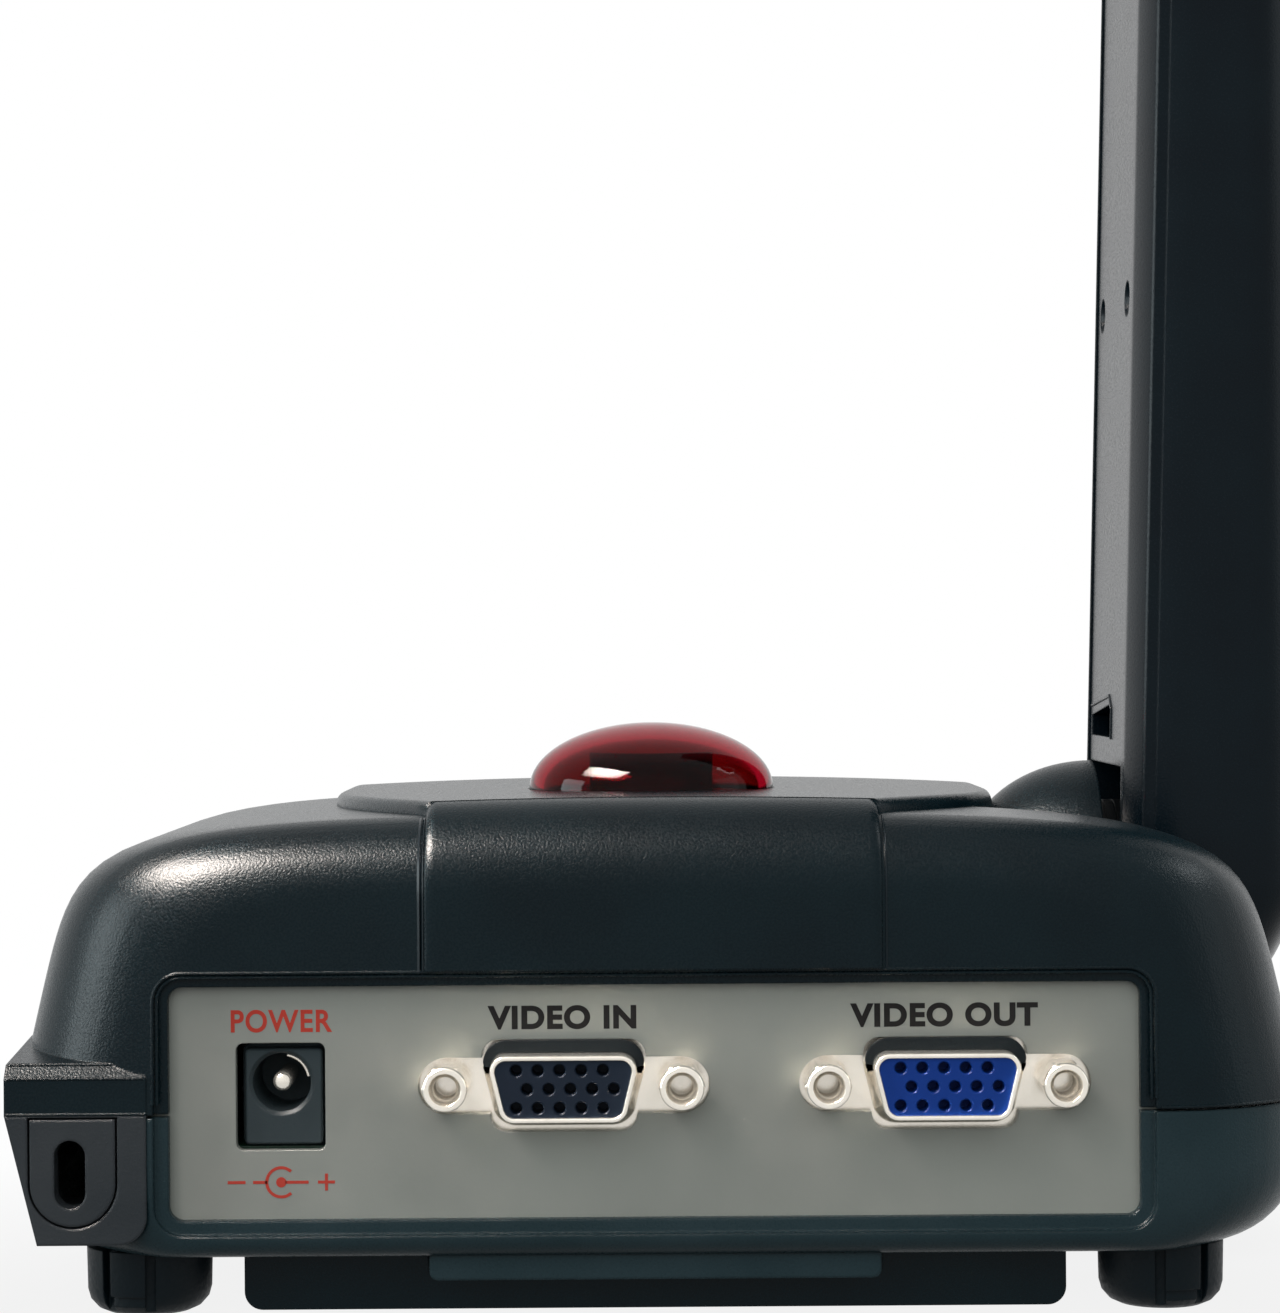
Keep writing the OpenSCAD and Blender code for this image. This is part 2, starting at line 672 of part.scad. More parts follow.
dc_deep = 14;
dc_hole_deep = 10;
dc_hole_z = board_top + dc_h - 4.1;
dc_sink = 0.4;
dc_pin_sink = 1.6;
module dc_jack_body() color([0.05, 0.05, 0.06]) difference() {
    along_y(panel_y + dc_sink, dc_deep) translate([dc_x, board_top + dc_h / 2]) round_rect(dc_w, dc_h, 0.6);
    rod_y(dc_x, panel_y - poke, dc_hole_z, dc_hole_r, dc_hole_deep + poke);
}

module dc_jack_pin() color([0.8, 0.8, 0.8])
    rod_y(dc_x, panel_y + dc_pin_sink, dc_hole_z, dc_pin_r, dc_hole_deep - dc_pin_sink);

// Half-oval red window: a hollow dome with a skirt that stands on the case top
module ir_window() color([0.5, 0.02, 0.03, 0.8])
    translate([0, y_rear + ir_back, case_top_z]) rotate_extrude() {
    steps = 10;
    outer = [for (k = [0:steps]) let (a = 90 * k / steps) [ir_d / 2 * cos(a), deck_rise + ir_h * sin(a)]];
    inner = [for (k = [steps:-1:0]) let (a = 90 * k / steps)
        [(ir_d / 2 - ir_wall) * cos(a), deck_rise + (ir_h - ir_wall) * sin(a)]];
    polygon(concat([[ir_d / 2, 0]], outer, inner, [[ir_d / 2 - ir_wall, 0]]));
}

module ir_receiver() color([0.03, 0.03, 0.03]) translate([0, y_rear + ir_back, case_top_z]) {
    difference() {
        cylinder(r = ir_d / 2 - ir_wall - slack, h = 1);
        translate([0, 0, -poke]) cylinder(r = 3, h = 3);
    }
    translate([-ir_block_w / 2, -4, 1]) cube([ir_block_w, 8, deck_rise + ir_h - ir_wall - 4]);
}

module lock_bracket() color([0.08, 0.11, 0.12]) difference() {
    back = 3;
    along_y(y_rear, lock_deep) lock_outline(0);
    along_y(y_rear + back, lock_deep - back + poke) offset_lock();
    along_y(y_rear - poke, poke + lock_plate_t) lock_tongue(0.25);
    along_y(y_rear - poke, 2 * back) lock_slot();
}

// Hollow behind the lock slot
module offset_lock() translate([lock_mid, (split_z + lock_z0) / 2 + 1]) square([9.5, 9.5], center = true);

lock_mid = lock_x0 + lock_w / 2 - 0.3;
lock_slot_x = lock_mid - 0.3;
lock_slot_z = 16.2;
tongue_w = 9;
lock_plate_t = 1.6;
module lock_slot() {
    for (s = [-1, 1])
        translate([lock_slot_x, lock_slot_z + s * (slot_h - slot_w) / 2]) circle(slot_w / 2);
    translate([lock_slot_x, lock_slot_z]) square([slot_w, slot_h - slot_w], center = true);
}
module lock_tongue(g) {
    round_z = lock_z0 + 2 + tongue_w / 2;
    translate([lock_mid, round_z]) circle(tongue_w / 2 + g);
    translate([lock_mid - tongue_w / 2 - g, round_z])
        square([tongue_w + 2 * g, split_z - round_z - 2 * slack + g]);
}

module lock_plate() color([0.12, 0.15, 0.16]) along_y(y_rear, lock_plate_t) difference() {
    lock_tongue(0);
    lock_slot();
}

foot_rear = 12;
foot_front = 22;
FEET = [[-foot_x, y_rear + foot_rear], [foot_x, y_rear + foot_rear],
    [-foot_x + 8, y_front - foot_front], [channel_x - 9, y_front - foot_front]];
groove_r = 0.6;
module feet() color([0.07, 0.08, 0.09]) for (p = FEET) translate([p[0], p[1], 0]) difference() {
    translate([0, 0, pad_t]) cylinder(r = foot_d / 2, h = clear_z - pad_t);
    for (k = [0:7])
        rotate(45 * k + 22.5) translate([foot_d / 2, 0, 0]) cylinder(r = groove_r, h = clear_z + poke);
}

module foot_pads() color([0.04, 0.04, 0.04]) for (p = FEET) translate([p[0], p[1], 0])
    rotate_extrude() polygon([[0, 0], [foot_d / 2 - 1.2, 0], [foot_d / 2 - 0.4, pad_t], [0, pad_t]]);

block_y = y_rear + block_back;
cover_t = 2;
module ballast_cover() color([0.08, 0.10, 0.11]) difference() {
    r = 2;
    along_y(block_y, block_len) difference() {
        translate([0, clear_z / 2 + r / 2]) round_rect(block_w, clear_z + r, r);
        translate([0, clear_z + r]) square([block_w + poke, 2 * r], center = true);
    }
    translate([0, block_y + block_len / 2, cover_t + clear_z])
        cube([block_w - 2 * cover_t - 2, block_len - 2 * cover_t, 2 * clear_z], center = true);
    along_y(y_rear, belly_r / 2 + tab_deep) translate([0, clear_z])
        square([tab_w + poke, 2 * tab_h], center = true);
}

module ballast_weight() color([0.4, 0.4, 0.42])
    translate([0, block_y + block_len / 2 + 2 * cover_t, (cover_t + clear_z) / 2])
        cube([block_w - 4 * cover_t, block_len - 8 * cover_t, clear_z - cover_t], center = true);

module main_board() color([0.05, 0.32, 0.16]) difference() {
    translate([0, 0, board_top - board_t]) linear_extrude(board_t) {
        translate([-board_half, flange_y + flange_t]) square([2 * board_half, board_rear_len]);
        translate([-board_half, flange_y + flange_t]) square([board_half + board_right, board_len]);
    }
    for (p = POSTS) translate([p[0], p[1], 0]) cylinder(r = post_bore_r + slack, h = split_z);
}

// Steel bracket that holds the hinge pin inside the base
module hinge_bracket() color([0.6, 0.6, 0.62]) difference() {
    translate([0, hinge_y - bracket_w / 2, floor_z]) {
        translate([bracket_x, 0, 0]) cube([bracket_t, bracket_w, hinge_z + bracket_up - floor_z]);
        translate([bracket_x - bracket_foot, 0, 0]) cube([bracket_foot, bracket_w, bracket_foot_t]);
    }
    rod_x(bracket_x - poke, hinge_y, hinge_z, pin_r, bracket_t + 2 * poke);
}

module hinge_pin() color([0.7, 0.7, 0.72]) {
    rod_x(bracket_x - pin_head, hinge_y, hinge_z, bracket_up, pin_head);
    rod_x(bracket_x, hinge_y, hinge_z, pin_r, hub_x1 + pin_out - bracket_x);
}

module friction_washers() color([0.72, 0.70, 0.62]) for (k = [0:2]) difference() {
    x = channel_x + (washer_t + washer_gap) * k;
    rod_x(x, hinge_y, hinge_z, hub_r - 2 * slack, washer_t);
    rod_x(x - poke, hinge_y, hinge_z, pin_r, washer_t + 2 * poke);
}

module hinge_nut() color([0.7, 0.7, 0.72]) difference() {
    rod_x(hub_x1 + nut_gap, hinge_y, hinge_z, nut_r, nut_t, $fn = 6);
    rod_x(hub_x1 - poke, hinge_y, hinge_z, pin_r, nut_room + poke);
}

// Side outline of the arm: a half oval below the hinge, round corners at the top
function arm_outline(inset, low) = let (h = arm_w / 2 - inset, top = arm_top_z - inset,
        r = max(arm_outer_r - inset, 1))
    concat([for (a = [360:-15:180]) [h * cos(a), hinge_z + low * sin(a)]],
        [for (a = [180:-30:90]) [-h + r + r * cos(a), top - r + r * sin(a)]],
        [for (a = [90:-30:0]) [h - r + r * cos(a), top - r + r * sin(a)]]);

// Reach of the oval below the hinge: it draws in towards the arm's outer face
heel_deep = arm_t + 2 * slack;
function arm_low(deep, inset) = (arm_w / 2 - inset) * sqrt(1 - pow(deep / heel_deep, 2));

// Rings of the arm at a depth from its leaning inner face and from its upright outer face
function arm_face(z) = arm_in_x + (z - hinge_z) * tan(arm_taper);
function inner_ring(deep, inset, low, shift) = [for (p = arm_outline(inset, low))
    [arm_face(p[1]) + deep, hinge_y + shift + p[0], p[1]]];
function outer_ring(deep, inset, low, shift) = [for (p = arm_outline(inset, low))
    [arm_out_x - deep, hinge_y + shift + p[0], p[1]]];
cavity_inset = (arm_w - cover_w) / 2 - slack;
cavity_half = cover_w / 2 + slack;
cavity_drop = 1.2;
cavity_low = arm_low(arm_t - arm_wall, arm_wall) - arm_wall / 2;
function arm_rings() = concat([outer_ring(arm_wall, cavity_inset, cavity_low, cover_shift),
        inner_ring(0, cavity_inset, cavity_half + cavity_drop, cover_shift)],
    [for (a = [0:18:90]) let (deep = arm_edge_deep * (1 - cos(a)), inset = arm_edge_in * (1 - sin(a)))
        inner_ring(deep, inset, arm_low(deep, inset), 0)],
    [for (a = [90:-18:0]) let (deep = arm_outer_r * (1 - cos(a)), inset = arm_outer_r * (1 - sin(a)))
        outer_ring(deep, inset, arm_low(arm_t - deep, inset), 0)]);

cover_top_gap = 0.8;
cover_up = arm_top_z - hinge_z - cavity_inset - cover_top_gap;

// Frame of the arm's leaning inner face: local X into the arm, local Z up the arm
module on_face() translate([arm_in_x, hinge_y, hinge_z]) rotate([0, arm_taper, 0]) children();
module cover_outline() translate([cover_shift, 0]) {
    circle(cover_w / 2);
    translate([-cover_w / 2, 0]) square([cover_w, cover_up]);
}
module on_face_slab(x, depth) on_face() translate([x, 0, 0]) rotate([90, 0, 90])
    linear_extrude(depth) children();

module arm_outer_shell() color([0.09, 0.12, 0.13]) loft(arm_rings());

// Fork on the arm's outer face: a plate with two knuckles that hold the elbow pin
module elbow_fork() color([0.10, 0.13, 0.14]) difference() {
    union() {
        translate([arm_out_x, hinge_y - fork_w / 2, elbow_z - knuckle_r])
            cube([fork_t, fork_w, 2 * knuckle_r]);
        for (y = [hinge_y - fork_w / 2, hinge_y + fork_w / 2 - lug_w]) {
            rod_y(elbow_x, y, elbow_z, knuckle_r, lug_w);
            translate([arm_out_x, y, elbow_z - knuckle_r])
                cube([elbow_x - arm_out_x, lug_w, 2 * knuckle_r]);
        }
    }
    rod_y(elbow_x, hinge_y - arm_w, elbow_z, elbow_pin_r, 2 * arm_w);
}

// Arched slot: a low opening with a round top
arch_w = 17;
arch_h = 3.4;
arch_y = 6.3;
arch_z = 17;
module arch() {
    rise = 2;
    r = (arch_w * arch_w / 4 + rise * rise) / (2 * rise);
    intersection() {
        translate([-arch_w / 2, 0]) square([arch_w, arch_h]);
        translate([0, arch_h - r]) circle(r);
    }
}

// Inner cover: a plate with two screw holes, a hub opening and an arched slot
cover_sink = 0.3;
cover_plate_t = 2.2;
cover_screw_half = 11.25;
cover_hub_gap = 3;
cover_hole_r = 1.8;
module cover_screw_places() for (s = [-1, 1])
    translate([cover_shift + s * cover_screw_half, cover_screw_up]) children();
module arm_inner_cover() color([0.14, 0.17, 0.18]) difference() {
    on_face_slab(cover_sink, cover_plate_t) cover_outline();
    rod_x(arm_in_x - poke, hinge_y, hinge_z, hub_r + cover_hub_gap, cover_plate_t + 4 * poke);
    on_face_slab(-poke, cover_plate_t + 4 * poke) {
        cover_screw_places() circle(cover_hole_r);
        translate([arch_y, arch_z]) arch();
    }
}

screw_head_sink = 1;
screw_head_t = 1.2;
thread_r = 0.9;
module arm_screws() color([0.3, 0.3, 0.32]) {
    on_face_slab(cover_sink + screw_head_sink, screw_head_t)
        cover_screw_places() circle(cover_hole_r - slack / 2);
    on_face_slab(cover_sink + screw_head_sink, spine_deep - cover_sink - screw_head_sink)
        cover_screw_places() circle(thread_r);
}

// Steel spine: a plate up the arm with the hinge hub and two screw posts under the cover
spine_w = cover_w - 8;
spine_low = 7;
spine_up = arm_len - 24;
module arm_spine() color([0.6, 0.6, 0.62]) difference() {
    post_x = cover_sink + cover_plate_t;
    union() {
        on_face_slab(spine_deep, spine_t)
            translate([cover_shift - spine_w / 2, -spine_low]) square([spine_w, spine_up + spine_low]);
        rod_x(hub_x0, hinge_y, hinge_z, hub_r, hub_x1 - hub_x0);
        on_face_slab(post_x, spine_deep + slack - post_x) cover_screw_places() circle(cover_hole_r);
    }
    rod_x(arm_in_x, hinge_y, hinge_z, pin_r + run_gap, arm_t);
    on_face_slab(0, spine_deep) cover_screw_places() circle(thread_r + same_place);
}

module elbow_pin() color([0.7, 0.7, 0.72])
    rod_y(elbow_x, hinge_y - fork_w / 2, elbow_z, elbow_pin_r, fork_w);

jib_bar = 12;
module jib_frame() color([0.62, 0.63, 0.65]) difference() {
    union() {
        rod_y(elbow_x, hinge_y - jib_hub_w / 2, elbow_z, knuckle_r - 0.5, jib_hub_w);
        translate([elbow_x, hinge_y - jib_bar / 2, elbow_z - jib_t / 2 + jib_wall])
            cube([jib_x1 - jib_wall - elbow_x, jib_bar, jib_t - 2 * jib_wall]);
        rod_x(jib_x1 - jib_wall, hinge_y, elbow_z, spigot_r, spigot_len + jib_wall);
    }
    rod_y(elbow_x, hinge_y - arm_w, elbow_z, elbow_pin_r + run_gap, 2 * arm_w);
}

// Half of a hollow bar along X: side 1 is the upper half, side -1 the lower half
module half_bar(side, x0, x1, w, t, r, skin) difference() {
    translate([0, hinge_y, elbow_z]) along_x(x0, x1 - x0) difference() {
        round_rect(w, t, r);
        translate([0, -side * t]) square([w + poke, 2 * t], center = true);
    }
    translate([0, hinge_y, elbow_z]) along_x(x0 + skin, x1 - x0 - 2 * skin)
        round_rect(w - 2 * skin, t - 2 * skin, r - skin);
}

module jib_half(side) difference() {
    half_bar(side, jib_x0, jib_x1, jib_w, jib_t, 6, jib_wall);
    translate([jib_x0 - poke, hinge_y - jib_bar / 2, elbow_z - jib_t / 2 + jib_wall])
        cube([jib_wall + 2 * poke, jib_bar, jib_t - 2 * jib_wall]);
    rod_x(jib_x1 - jib_wall - poke, hinge_y, elbow_z, spigot_r, jib_wall + 2 * poke);
}

lamp_len = 46;
lamp_w = 8;
lamp_x = jib_x1 - 14 - lamp_len;
lamp_y = hinge_y + jib_bar / 2 + 0.6;
lamp_lip = 0.8;
lamp_board_t = 1.2;
module lamp_plate(t) translate([lamp_x - 1, lamp_y - 0.5, elbow_z - jib_t / 2 + jib_wall])
    cube([lamp_len + 2, lamp_w - 1.2, t]);
module jib_top_shell() color([0.09, 0.12, 0.13]) jib_half(1);
module jib_bottom_shell() color([0.09, 0.12, 0.13]) difference() {
    jib_half(-1);
    translate([lamp_x, lamp_y, elbow_z - jib_t]) cube([lamp_len, lamp_w - 2, jib_t]);
}

module led_lens() color([0.9, 0.9, 0.85]) {
    translate([lamp_x + slack, lamp_y + slack, elbow_z - jib_t / 2])
        cube([lamp_len - 2 * slack, lamp_w - 2 - 2 * slack, jib_wall]);
    lamp_plate(lamp_lip);
}

module led_board() color([0.85, 0.85, 0.82]) translate([0, 0, lamp_lip]) lamp_plate(lamp_board_t);

module head_pivot_block() color([0.6, 0.6, 0.62]) difference() {
    pivot_w = 2 * spigot_r + 10;
    translate([head_x0 + head_wall, hinge_y - pivot_w / 2, elbow_z - head_t / 2 + head_wall])
        cube([spigot_len, pivot_w, head_t - 2 * head_wall]);
    rod_x(head_x0, hinge_y, elbow_z, spigot_r + run_gap, spigot_len + 3 * slack);
}

// Half of the camera head: round in plan at its free end
module head_plan(g) {
    r = 14;
    intersection() {
        translate([(head_x0 + head_x1) / 2 - r, hinge_y])
            round_rect(head_len + 2 * (r + g), head_w + 2 * g, r + g);
        translate([head_x0 - g, hinge_y - head_w]) square([head_len + 2 * g, 2 * head_w]);
    }
}
head_step = 1.5;
module head_half(side) difference() {
    z0 = side > 0 ? elbow_z : elbow_z - head_t / 2;
    union() {
        translate([0, 0, side > 0 ? z0 : z0 + head_step])
            linear_extrude(head_t / 2 - head_step) head_plan(0);
        translate([0, 0, z0]) linear_extrude(head_t / 2) head_plan(-head_step);
    }
    translate([0, 0, elbow_z - head_t / 2 + head_wall])
        linear_extrude(head_t - 2 * head_wall) head_plan(-head_wall);
    rod_x(head_x0 - poke, hinge_y, elbow_z, spigot_r + 2 * slack, head_wall + 2 * poke);
}

module head_top_shell() color([0.09, 0.12, 0.13]) head_half(1);
module head_bottom_shell() color([0.09, 0.12, 0.13]) difference() {
    head_half(-1);
    translate([lens_x, hinge_y, elbow_z - head_t]) cylinder(r = lens_r + ring_t + key_gap, h = head_t);
}

// Lens: a barrel with a collar that holds the focus ring, the glass in its mouth and the sensor above it
lens_top = elbow_z + head_t / 2 - head_wall - 3;
lens_low = elbow_z - head_t / 2;
mouth_r = lens_r - 2.5;
throat_r = lens_r - 4;
seat_up = 3;
collar_up = 4;
collar_t = 1.5;
collar_r = lens_r + ring_t + 1.6;
module lens_barrel() color([0.04, 0.04, 0.05]) translate([lens_x, hinge_y, lens_low]) rotate_extrude()
    polygon([[mouth_r, 1], [lens_r, 0], [lens_r, collar_up], [collar_r, collar_up],
        [collar_r, collar_up + collar_t], [lens_r, collar_up + collar_t], [lens_r, lens_top - lens_low],
        [throat_r, lens_top - lens_low], [throat_r, seat_up], [mouth_r, seat_up]]);

glass_t = 2;
bulge = 1.4;
module lens_glass() color([0.2, 0.25, 0.35, 0.6])
    translate([lens_x, hinge_y, lens_low + seat_up]) rotate_extrude()
    polygon(concat([[0, glass_t]], [for (k = [0:4]) let (t = k / 4)
        [(mouth_r - slack / 2) * t, -bulge * (1 - t * t)]],
        [[throat_r - slack / 2, 0], [throat_r - slack / 2, glass_t]]));

sensor_w = 26;
module sensor_board() color([0.05, 0.3, 0.15])
    translate([lens_x - sensor_w / 2, hinge_y - sensor_w / 2, lens_top])
        cube([sensor_w, sensor_w, board_t]);

grip_r = 0.5;
module focus_ring() color([0.12, 0.13, 0.14])
    translate([lens_x, hinge_y, lens_low - ring_reach]) difference() {
    cylinder(r = lens_r + ring_t, h = ring_reach + collar_up - 2 * slack);
    translate([0, 0, -poke]) cylinder(r = lens_r + run_gap, h = head_t / 2);
    for (k = [0:23])
        rotate(15 * k) translate([lens_r + ring_t + slack, 0, -poke])
            cylinder(r = grip_r, h = ring_reach + poke);
}

module button_power() key("button_power");
module button_lamp() key("button_lamp");
module button_freeze() key("button_freeze");
module button_menu() key("button_menu");
module button_zoom_in() key("button_zoom_in");
module button_zoom_out() key("button_zoom_out");
module button_up() key("button_up");
module button_down() key("button_down");
module button_left() key("button_left");
module button_right() key("button_right");
module button_enter() key("button_enter");

upper_case();
lower_case();
arm_rest();
top_deck();
control_panel();
keypad_mat();
keypad_board();
rear_io_panel();
ir_window();
ir_receiver();
vga_input_shell();
vga_input_insert();
vga_output_shell();
vga_output_insert();
vga_jack_nuts();
dc_jack_body();
dc_jack_pin();
lock_bracket();
lock_plate();
feet();
foot_pads();
ballast_cover();
ballast_weight();
main_board();
case_screws();
hinge_bracket();
hinge_pin();
friction_washers();
hinge_nut();
arm_spine();
arm_outer_shell();
arm_inner_cover();
arm_screws();
elbow_fork();
elbow_pin();
jib_frame();
jib_top_shell();
jib_bottom_shell();
led_lens();
led_board();
head_pivot_block();
head_top_shell();
head_bottom_shell();
lens_barrel();
lens_glass();
sensor_board();
focus_ring();
button_power();
button_lamp();
button_freeze();
button_menu();
button_zoom_in();
button_zoom_out();
button_up();
button_down();
button_left();
button_right();
button_enter();
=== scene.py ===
# %% [markdown]
# A portable document camera, dressed in Blender.
#
# The object is a low plastic base with a connector panel on its rear face, a red infrared dome on
# top, and a tall arm on its right side that carries a jib and a slim camera head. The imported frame
# gives every mechanical piece at its real size and place. This script gives those pieces their looks:
# smooth moulded shells, satin paint, nickel, glass and rubber. All sizes below are in millimetres and
# are turned into metres when a mesh is made, because Blender works in metres.

# %% Load the frame
import math
import bmesh
import bpy
from mathutils import Matrix, Vector
from mathutils.bvhtree import BVHTree


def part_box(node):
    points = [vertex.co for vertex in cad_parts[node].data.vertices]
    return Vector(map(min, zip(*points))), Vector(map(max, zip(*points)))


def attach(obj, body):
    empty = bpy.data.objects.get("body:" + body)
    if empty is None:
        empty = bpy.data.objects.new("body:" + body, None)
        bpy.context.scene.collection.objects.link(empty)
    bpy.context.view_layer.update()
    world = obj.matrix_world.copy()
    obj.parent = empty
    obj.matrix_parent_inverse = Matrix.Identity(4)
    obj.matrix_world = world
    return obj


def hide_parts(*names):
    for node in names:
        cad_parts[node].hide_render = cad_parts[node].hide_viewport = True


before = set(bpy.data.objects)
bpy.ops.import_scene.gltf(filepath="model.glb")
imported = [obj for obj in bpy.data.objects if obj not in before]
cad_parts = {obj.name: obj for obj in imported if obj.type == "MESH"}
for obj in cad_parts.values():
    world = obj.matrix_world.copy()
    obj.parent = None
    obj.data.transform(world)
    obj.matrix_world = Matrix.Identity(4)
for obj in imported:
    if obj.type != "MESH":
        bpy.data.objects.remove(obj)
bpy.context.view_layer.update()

MM = 0.001
scene = bpy.context.scene
scene.view_settings.view_transform = "Standard"

# %% [markdown]
# The camera comes first. A product photograph like this one is taken low, level and square to the
# rear face, with a long lens. The connector spacing of 24.99 mm fixes how many pixels a millimetre
# takes, and the way the arm and the deck shrink with distance fixes how far the camera stood. A lens
# of about 99 mm at 380 mm from the rear face shows both as they are, so the camera needs no shift.

# %% Camera
photo_w = 1280
photo_h = 1313
focal_px = 3600
camera_place = Vector((-1.2, -530, 70.5))
camera_roll = math.radians(0.4)

camera_data = bpy.data.cameras.new("camera")
camera_data.sensor_width = 36
camera_data.lens = focal_px * camera_data.sensor_width / max(photo_w, photo_h)
camera_data.clip_start = 0.01
camera = bpy.data.objects.new("camera", camera_data)
scene.collection.objects.link(camera)
camera.matrix_world = (
    Matrix.Translation(camera_place * MM)
    @ Matrix.Rotation(math.radians(90), 4, "X")
    @ Matrix.Rotation(-camera_roll, 4, "Z")
)
scene.camera = camera
print("lens in mm:", round(camera_data.lens, 1))

# %% [markdown]
# The studio is a white sweep. For the light that falls on the object, the room is white ahead of it and
# above it and dark behind the camera, and the floor is dark by the rear face. Camera, mirror and glass
# rays see plain white instead, in the world and on the floor. So the background is white from every
# side without any more light on the object, and metal and glass show it too. Close to the object the
# floor keeps a little of its lit tone, so that the shadow shows. Of the five lamps, the key gives only a
# mirror highlight on the left shoulder, the fill isn't mirrored, and the camera sees none.

# %% Studio
def feed(tree, node, inputs):
    """Give each input of a node a plain value, or wire another node's output to it."""
    for key, value in inputs.items():
        if isinstance(value, bpy.types.NodeSocket):
            tree.links.new(value, node.inputs[key])
        else:
            node.inputs[key].default_value = value


def add_node(tree, kind, inputs=None, **settings):
    """A shader node of the given kind, with its settings and its inputs."""
    made = tree.nodes.new("ShaderNode" + kind)
    for key, value in settings.items():
        setattr(made, key, value)
    feed(tree, made, inputs or {})
    return made


def two_tone(tree, factor, dark, light, start=0.35, end=0.65):
    """A colour that runs from dark to light with a factor."""
    ramp = add_node(tree, "ValToRGB", {"Fac": factor})
    ramp.color_ramp.elements[0].position = start
    ramp.color_ramp.elements[0].color = (*dark, 1)
    ramp.color_ramp.elements[1].position = end
    ramp.color_ramp.elements[1].color = (*light, 1)
    return ramp.outputs["Color"]


def white_for_view_rays(tree):
    """A factor that is 1 for camera, mirror and glass rays, and 0 for light on the object."""
    path = add_node(tree, "LightPath")
    seen = path.outputs["Is Camera Ray"]
    for kind in ("Is Transmission Ray", "Is Glossy Ray"):
        seen = add_node(tree, "Math", {0: seen, 1: path.outputs[kind]}, operation="MAXIMUM").outputs[0]
    return seen


room_front = 1.0
room_back = 0.006
room_side = (0.3, 0.58, 0.76)
world = bpy.data.worlds.new("studio")
scene.world = world
world.use_nodes = True
tree = world.node_tree
direction = add_node(tree, "TexCoord").outputs["Generated"]
lean = add_node(tree, "VectorMath", {0: direction, 1: room_side}, operation="DOT_PRODUCT")
ahead = add_node(tree, "MapRange", {"Value": lean.outputs["Value"], "From Min": 0.25, "From Max": 0.56,
                                    "To Min": room_back, "To Max": room_front},
                 interpolation_type="SMOOTHSTEP")
white = add_node(tree, "Math", {0: ahead.outputs[0], 1: white_for_view_rays(tree)}, operation="MAXIMUM")
feed(tree, tree.nodes["Background"], {"Color": (1, 1, 1, 1), "Strength": white.outputs[0]})


def soft_box(name, place, target, wide, high, power, colour=(1, 1, 1)):
    """An area lamp in metres and watts that faces a target."""
    lamp = bpy.data.lights.new(name, "AREA")
    lamp.shape = "RECTANGLE"
    lamp.size = wide
    lamp.size_y = high
    lamp.energy = power
    lamp.color = colour
    made = bpy.data.objects.new(name, lamp)
    scene.collection.objects.link(made)
    made.location = place
    made.rotation_euler = (Vector(target) - Vector(place)).to_track_quat("-Z", "Y").to_euler()
    made.visible_camera = False
    return made


key = soft_box("key_light", (-0.225, -0.25, 0.33), (-0.05, -0.135, 0.047), 0.26, 0.14, 2.0, (1, 0.88, 0.8))
key.visible_diffuse = False
key.data.spread = math.radians(50)
soft_box("right_key", (0.93, 0.06, 0.85), (0.05, -0.14, 0.05), 0.4, 0.35, 3.6, (0.93, 0.98, 1))
soft_box("left_light", (-1.1, -0.28, 0.26), (-0.05, -0.13, 0.04), 0.5, 0.55, 10, (0.86, 0.97, 1))
soft_box("right_light", (1.1, -0.34, 0.3), (0.06, -0.14, 0.04), 0.5, 0.6, 0.9, (0.84, 0.96, 1))
fill = soft_box("fill_light", (-0.1, -1.15, 0.6), (0, -0.14, 0.03), 1.8, 1.2, 15)
fill.visible_glossy = False

reach = 6.0
dark_y, pale_y = -0.15, -0.02
square = [(-reach, -reach, 0), (reach, -reach, 0), (reach, reach, 0), (-reach, reach, 0)]
floor_mesh = bpy.data.meshes.new("floor")
floor_mesh.from_pydata(square, [], [(0, 1, 2, 3)])
floor = bpy.data.objects.new("floor", floor_mesh)
scene.collection.objects.link(floor)
paper = bpy.data.materials.new("white_paper")
paper.use_nodes = True
tree = paper.node_tree
tree.nodes.clear()
spot = add_node(tree, "NewGeometry").outputs["Position"]
row = add_node(tree, "SeparateXYZ", {0: spot})
near = add_node(tree, "MapRange", {"Value": row.outputs["Y"], "From Min": dark_y, "From Max": pale_y})
tone = two_tone(tree, near.outputs[0], (0.02, 0.02, 0.02), (0.94, 0.94, 0.94), 0, 1)
lit = add_node(tree, "BsdfDiffuse", {"Color": tone})
shown = add_node(tree, "Emission", {"Color": (1, 1, 1, 1), "Strength": 1.0})
away = add_node(tree, "VectorMath", {0: spot}, operation="LENGTH")
clear = add_node(tree, "MapRange", {"Value": away.outputs["Value"], "From Min": 0.12, "From Max": 0.5,
                                    "To Min": 0.86, "To Max": 1.0})
soften = add_node(tree, "Math", {0: white_for_view_rays(tree), 1: clear.outputs[0]}, operation="MULTIPLY")
both = add_node(tree, "MixShader", {0: soften.outputs[0], 1: lit.outputs[0], 2: shown.outputs[0]})
add_node(tree, "OutputMaterial", {0: both.outputs[0]})
floor_mesh.materials.append(paper)
print("studio ready")

# %% [markdown]
# Moulded plastic is never one flat colour. The tool for this case was spark-eroded, so the skin is a
# fine irregular grain of about a quarter of a millimetre. It could be an image, but a procedural noise
# in object space has no seams and stays on the piece when it moves. The same noise drives a small
# bump and a little change of roughness, and a slower one changes the tone. A bevel in the shader rounds
# the normals at edges, which gives every edge the thin highlight of a real moulded edge. The index is
# lower than a real plastic's 1.5, because a room that is white all round would veil the dark colour.

# %% Plastic finish
looks = {}
plastic_index = 1.2


